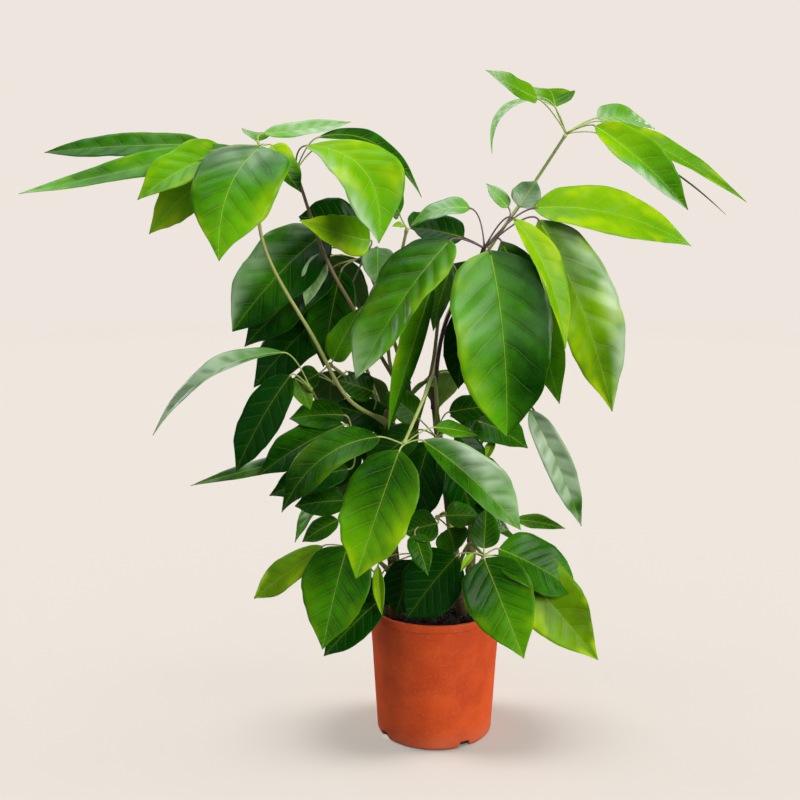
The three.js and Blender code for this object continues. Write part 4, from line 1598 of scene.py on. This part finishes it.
# The fronds that the front shows. A blade's tones are partly painted light and shade, set to how lit each
# leaflet is, and its sheen and side paint a pale sheen and a lit and a shaded half.
FRONDS = [
    Frond("frond_a", "stem_3", 500, [(18, 22, 600), (74, 45, 685), (128, 48, 765)], (170, 0, 840),
          Bark.LIGHT, [
        Blade((-40, -10, 45), (-110, -50, 80), 42, -90, -0.04, 15, V, BRIGHT, tip_tone=PALE),
        Blade((-30, 10, 45), (-100, -30, -25), 13, -100, 0.1, 20, L, PALE, sway=0.55),
        Blade((-13, 20, 35), (-12, 130, 60), 60, -90, 0.1, 15, O, BRIGHT, sheen=-0.7),
        Blade((35, -20, 10), (150, -70, -95), 62, -90, 0.12, 30, O, FRESH, quilt=1.6, sheen=0.9,
              tip_tone=MID),
        Blade((50, 15, 15), (245, 10, -90), 42, -60, 0.08, 20, L, BRIGHT),
        Blade((45, 30, 0), (230, 60, -110), 16, 0, 0.1, 20, L, PALE),
        Blade((45, 35, 20), (135, 100, 5), 48, -90, 0.14, 15, V, PALE),
    ]),
    Frond("frond_b", "stem_3", 470, [(2, -25, 545), (14, -35, 600)], (60, -60, 695), Bark.PURPLE, [
        Blade((-18, 20, 50), (-96, 40, 25), 38, -80, 0.3, 15, V, PALE, rise=1.3),
        Blade((33, 35, 50), (5, 60, 80), 21, -90, 0.12, 14, V, PALE, rise=0.5),
        Blade((5, -30, 0), (26, -90, -230), 132, -98, 0.1, 20, F, GLAZED, sway=-0.06, quilt=1.8,
              side=0.34, change=0.8, tip_tone=MID),
        Blade((35, -25, 40), (100, -70, -120), 54, -60, 0.12, 28, L, FRESH, sway=-0.1),
        Blade((70, 0, 36), (169, -25, -212), 98, -80, 0.16, 14, O, OLIVE, skew=-0.1, quilt=2.4,
              sheen=-1.0, side=-0.12),
        Blade((65, 20, 50), (275, 30, 0), 84, -70, 0.22, 14, O, FRESH, change=0.85, tip_tone=PALE),
        Blade((-25, 40, 10), (-95, 80, 20), 50, -120, 0.1, 14, V, DARK),
        Blade((-45, -20, 12), (-165, -90, -155), 102, -126, 0.16, 20, F, MID, sway=-0.06, skew=0.04,
              quilt=3.2, side=-0.22, change=0.75, tip_tone=PALE),
        Blade((25, 40, 5), (110, 60, -220), 70, -90, 0.14, 14, O, MID),
        Blade((47, 30, 51), (72, 60, 84), 40, -90, 0.1, 14, V, GREY, rise=0.5),
    ]),
    Frond("frond_c", "stem_1", 452, [(-118, -40, 490), (-163, -40, 571), (-230, -40, 704)],
          (-230, -40, 825), Bark.OLIVE, [
        Blade((5, -35, 0), (-40, -130, -135), 116, -90, 0.1, 12, V, SATIN, sway=0.2, skew=-0.14, quilt=1.8,
              side=-0.2, change=0.42, tip_tone=BRIGHT),
        Blade((-38, -6, 0), (-310, -20, -60), 48, -90, -0.01, 12, L, MID, rise=1.3, change=0.85,
              tip_tone=PALE),
        Blade((-75, 30, 0), (-295, 60, -10), 44, -100, 0.05, 14, F, MID, quilt=3, tip_tone=DEEP),
        Blade((-40, 2, -8), (-152, -50, -66), 72, -100, 0.17, 20, O, BRIGHT, quilt=1.5),
        Blade((-62, 4, -34), (-149, 4, -114), 74, -90, 0.12, 12, V, PALE, teeth=0.08, change=0.4,
              tip_tone=FRESH),
        Blade((-8, 40, 5), (-25, 180, 12), 44, 90, 0.1, 14, L, PALE),
        Blade((14, 12, 0), (52, 4, -60), 46, -70, 0.24, 26, V, FRESH, sway=0.25, tip_tone=DARK),
        Blade((0, 40, 15), (115, 70, 30), 28, -60, -0.03, 14, O, PALE),
    ]),
    Frond("frond_d", "stem_2", 470, [(-113, -12, 610), (-149, -12, 679)], (-190, 30, 790), Bark.BROWN, [
        Blade((20, -50, 35), (114, -130, -85), 92, -80, 0.2, 16, B, FRESH, sway=-0.42, quilt=1.5, sheen=0.45,
              tip_tone=BRIGHT),
        Blade((32, -18, 45), (170, 0, -35), 36, -50, 0.2, 14, O, DEEP, sway=-0.38),
        Blade((36, 34, 30), (112, 90, -40), 50, -60, 0.2, 14, V, DEEP),
        Blade((-30, 40, 8), (-75, 110, 12), 46, 120, 0.1, 14, V, DEEP),
    ]),
    Frond("frond_e", "stem_2", 498, [(-55, 32, 548), (-72, 50, 600)], (-100, 60, 670), Bark.BROWN, [
        Blade((-50, -24, 38), (-178, -56, -95), 108, -100, 0.14, 10, F, DEEP, skew=0.06, quilt=1.6,
              sheen=0.4, side=0.26),
        Blade((-40, -20, -10), (-165, -30, -120), 84, -100, 0.12, 14, O, DARK),
        Blade((-30, -30, -15), (-55, -50, -145), 68, -100, 0.1, 14, O, DARK),
        Blade((-54, -50, 11), (-77, -68, -58), 36, -100, 0.1, 20, L, PALE, rise=0.4),
        Blade((20, -10, 15), (20, -50, -35), 46, -90, 0.1, 14, V, GREY),
        Blade((10, -40, 28), (-80, -110, 60), 56, -90, 0.14, 16, V, BRIGHT, sway=-0.1, rise=0.4,
              teeth=0.1, quilt=3, tip_tone=FRESH),
        Blade((-5, 10, 35), (-91, 20, 55), 70, -90, 0.28, 14, O, DARK, rise=0.5),
        Blade((-35, -10, -60), (-155, -20, -180), 88, -100, 0.12, 14, O, BLACK),
    ]),
    Frond("frond_f", "stem_2", 445, [(-62, 50, 515), (-66, 60, 560), (-55, 64, 640)], (-40, 60, 710),
          Bark.OLIVE, [
        Blade((-5, -5, 5), (-20, -15, 5), 12, -90, 0.1, 20, V, FRESH),
        Blade((-10, 0, 20), (-30, -20, 60), 50, -60, 0.1, 14, V, MID),
        Blade((5, 10, 0), (45, 50, 10), 40, -60, 0.1, 14, V, DEEP),
    ]),
    Frond("frond_g", "stem_2", 420, [(-5, 30, 520), (5, 25, 600)], (20, 0, 670), Bark.BROWN, [
        Blade((-25, -20, -25), (-85, -70, -215), 48, -95, 0.05, 44, L, MID, camber=0.0, side=0.45),
        Blade((0, -5, -5), (-25, -20, -90), 42, -130, 0.08, 14, L, MID),
        Blade((22, 26, -64), (12, 30, -180), 54, -90, 0.06, 14, O, BLACK),
    ]),
    Frond("frond_h", "stem_3", 440, [(-5, -60, 525), (-20, -115, 505)], (-45, -150, 455), Bark.GREEN, [
        Blade((-30, 0, 10), (-155, -15, -85), 62, -115, 0.46, 14, O, DEEP),
        Blade((-5, -10, -5), (-60, -55, -160), 94, -90, 0.08, 14, O, DEEP, teeth=0.1, quilt=1.5,
              tip_tone=BRIGHT),
        Blade((25, 0, 5), (150, -10, -110), 62, -85, 0.16, 22, B, DEEP, skew=-0.16, quilt=1.5, sheen=-0.5,
              change=0.75, tip_tone=PALE),
        Blade((40, 10, 20), (95, 30, 5), 26, -60, 0.1, 14, L, MID),
    ]),
    Frond("frond_i", "stem_3", 240, [(45, -80, 300)], (60, -130, 300), Bark.GREEN, [
        Blade((0, -10, 0), (50, -55, -120), 92, -105, 0.08, 14, V, DEEP, tip_tone=BRIGHT),
        Blade((20, 5, 8), (122, 0, -48), 80, -80, 0.13, 14, F, DEEP),
        Blade((34, 10, -8), (151, -20, -137), 92, -105, 0.12, 14, V, OLIVE),
        Blade((0, 0, 10), (5, 35, 55), 42, -90, 0.1, 20, V, DEEP),
        Blade((-35, 15, -5), (-100, 10, -90), 88, -100, 0.1, 14, O, BLACK),
        Blade((-14, -8, 6), (-31, -16, -16), 11, -90, 0.25, 30, L, FRESH),
        Blade((-21, -4, -42), (-17, -8, -80), 14, -100, 0.08, 30, L, FRESH),
    ]),
    Frond("frond_j", "stem_1", 235, [(-95, -40, 275)], (-125, -60, 290), Bark.GREEN, [
        Blade((-30, 0, 0), (-125, 0, -75), 48, -100, 0.02, 14, B, OLIVE, sheen=0.6),
        Blade((5, -15, 5), (-28, -62, -124), 96, -100, 0.1, 12, V, DEEP, tip_tone=MID),
        Blade((52, -4, -72), (-28, -34, -145), 56, -100, 0.1, 14, O, DARK),
    ]),
    Frond("frond_k", "stem_5", 400, [(-112, 36, 432), (-158, 10, 472)], (-170, -40, 505), Bark.OLIVE, [
        Blade((-35, -5, 50), (-210, -20, -60), 38, -135, 0.32, 20, L, GREY, skew=0.2),
        Blade((-25, -10, 20), (-100, -20, -110), 62, -95, 0.14, 14, O, BLACK),
        Blade((-20, 10, 10), (0, 5, -30), 30, -80, 0.1, 14, L, MID),
    ]),
    Frond("frond_t", "stem_5", 425, [(-115, 20, 500)], (-145, -20, 535), Bark.OLIVE, [
        Blade((5, -5, 5), (45, -10, 80), 42, -90, 0.1, 14, V, MID),
        Blade((-15, 10, -15), (-55, 20, -45), 42, -90, 0.1, 14, V, DEEP),
    ]),
    Frond("frond_l", "stem_1", 370, [(-92, -18, 415)], (-115, -20, 435), Bark.OLIVE, [
        Blade((-30, -15, -20), (-220, -20, -65), 28, -100, 0.05, 14, L, GREY),
        Blade((-10, -20, 20), (-125, -40, -45), 62, -100, 0.14, 14, O, DARK),
        Blade((-10, -5, 30), (-85, -5, 25), 50, -60, 0.12, 14, O, DEEP),
        Blade((-5, 10, -50), (-115, 0, -85), 56, -100, 0.16, 14, O, BLACK),
    ]),
    Frond("frond_m", "stem_5", 290, [(-92, 28, 325)], (-115, 0, 340), Bark.OLIVE, [
        Blade((-10, -10, 0), (-80, -20, -5), 50, -60, 0.1, 14, O, DARK),
        Blade((-20, -20, -25), (-70, -25, -55), 34, -100, 0.12, 14, O, DEEP),
    ]),
    Frond("frond_n", "stem_4", 385, [(70, 28, 425)], (80, 20, 440), Bark.OLIVE, [
        Blade((50, -10, 25), (125, -20, -140), 42, -100, 0.22, 20, O, GREY, quilt=3, sheen=0.6),
        Blade((-1, -40, -12), (-16, -50, -41), 15, -90, 0.2, 25, L, FRESH),
        Blade((-25, -10, 10), (45, -50, -20), 64, -80, 0.16, 14, V, DEEP),
        Blade((-20, -20, 10), (-62, -50, 25), 50, -100, 0.1, 14, V, DARK),
    ]),
    Frond("frond_p", "stem_4", 255, [(76, 40, 290)], (95, 40, 300), Bark.OLIVE, [
        Blade((20, -10, 0), (90, -20, -10), 26, -60, 0.1, 14, L, MID),
        Blade((10, -10, -15), (-5, -40, -10), 40, -60, 0.1, 14, V, DEEP),
    ]),
    Frond("frond_q", "stem_3", 385, [(-2, -35, 425)], (0, -50, 440), Bark.OLIVE, [
        Blade((-10, -5, -5), (-42, -10, -125), 80, -95, 0.08, 14, O, BLACK),
        Blade((15, -3, -5), (48, 6, -108), 72, -85, 0.08, 14, O, BLACK),
        Blade((-25, 8, 8), (-100, 15, -60), 64, -110, 0.12, 14, O, DARK),
        Blade((26, -6, 10), (62, -10, -46), 40, -75, 0.1, 14, O, BLACK),
        Blade((-24, -2, 26), (-68, 4, 62), 42, -100, 0.1, 14, O, DEEP, rise=0.6),
        Blade((16, -4, 36), (84, 0, 44), 38, -80, 0.1, 14, O, DARK, rise=0.6),
    ]),
    Frond("frond_r", "stem_2", 235, [(-22, -20, 272)], (-25, -60, 280), Bark.OLIVE, [
        Blade((-8, -10, -6), (-30, -22, -82), 60, -100, 0.08, 14, O, BLACK),
        Blade((10, -5, -6), (30, -12, -88), 66, -85, 0.08, 14, O, BLACK),
        Blade((20, 8, 4), (58, 16, -62), 42, -80, 0.1, 14, O, DARK),
        Blade((-54, -22, -10), (-49, -28, -79), 20, -110, 0.06, 30, L, FRESH),
        Blade((-50, 14, -38), (-56, 18, -86), 46, -95, 0.06, 14, O, BLACK),
    ]),
    Frond("frond_u", "stem_5", 375, [(-86, 36, 415)], (-95, 20, 440), Bark.OLIVE, [
        Blade((-14, 0, -6), (-62, 4, -95), 70, -95, 0.08, 14, O, BLACK),
        Blade((12, -4, -8), (30, -8, -95), 60, -85, 0.08, 14, O, BLACK),
        Blade((37, -8, 6), (-50, -18, 34), 50, -90, 0.03, 8, O, BLACK, rise=0.8),
        Blade((8, -16, 52), (-40, -26, 70), 44, -95, 0.1, 14, V, DEEP, rise=0.6),
    ]),
    Frond("frond_v", "stem_4", 335, [(66, 8, 380)], (60, -14, 400), Bark.OLIVE, [
        Blade((4, -6, -5), (22, -14, -78), 40, -80, 0.08, 14, O, BLACK),
        Blade((-10, -4, -8), (-8, -8, -88), 56, -95, 0.08, 14, O, BLACK),
    ]),
    Frond("frond_s", "stem_3", 290, [(12, -55, 335)], (0, -90, 340), Bark.GREEN, [
        Blade((15, 0, -15), (25, 5, -50), 50, -90, 0.1, 14, V, DEEP),
        Blade((0, -10, -5), (-45, -20, -15), 50, -70, 0.1, 14, O, DEEP),
        Blade((12, -4, 4), (58, 4, 0), 42, -70, 0.1, 14, V, DEEP),
        Blade((-30, -25, -15), (-13, -60, -60), 32, -90, 0.06, 14, V, DEEP),
    ]),
]
# The fronds at the back
BACK_FRONDS = [
    Frond("frond_back_1", "stem_4", 505, [(80, 120, 590)], (95, 185, 640), Bark.OLIVE,
          Whorl(4, -30, 140, 160, 95, 80).blades()),
    Frond("frond_back_2", "stem_5", 435, [(-120, 110, 560)], (-175, 165, 650), Bark.OLIVE,
          Whorl(4, 20, 135, 150, 90, 72).blades()),
    Frond("frond_back_3", "stem_5", 395, [(-100, 110, 450)], (-150, 175, 470), Bark.OLIVE,
          Whorl(4, 50, 190, 125, 90, 64).blades()),
    Frond("frond_back_4", "stem_4", 395, [(60, 110, 445)], (50, 185, 470), Bark.OLIVE,
          Whorl(4, 0, 165, 120, 85, 68).blades()),
    Frond("frond_back_5", "stem_5", 260, [(-80, 110, 310)], (-95, 165, 320), Bark.OLIVE,
          Whorl(4, 75, 200, 120, 85, 62).blades()),
    Frond("frond_back_6", "stem_4", 270, [(70, 90, 320)], (45, 150, 345), Bark.OLIVE,
          Whorl(4, 60, 150, 95, 85, 58).blades()),
]


def main() -> None:
    """Builds the plant, its pot and the studio."""
    logging.basicConfig(level=logging.INFO, format="%(message)s")
    studio = Studio()
    studio.camera()
    floor = studio.sweep()
    pot = Pot()
    pot_piece = pot.build(PLASTIC.material())
    Soil(pot).build(EARTH.material())
    bark = BARK.material()
    for index, stem in enumerate(STEMS):
        stem.build(np.random.default_rng(index), bark)
    by_name = {stem.name: stem for stem in STEMS}
    materials = [LEAF_TOP.material(), LEAF_UNDER.material(), STALK.material()]
    fronds = {frond.name: frond.build(by_name, materials) for frond in FRONDS + BACK_FRONDS}
    studio.lights(floor=floor, pot=pot_piece, crown=fronds["frond_a"])


if __name__ == "__main__":
    main()
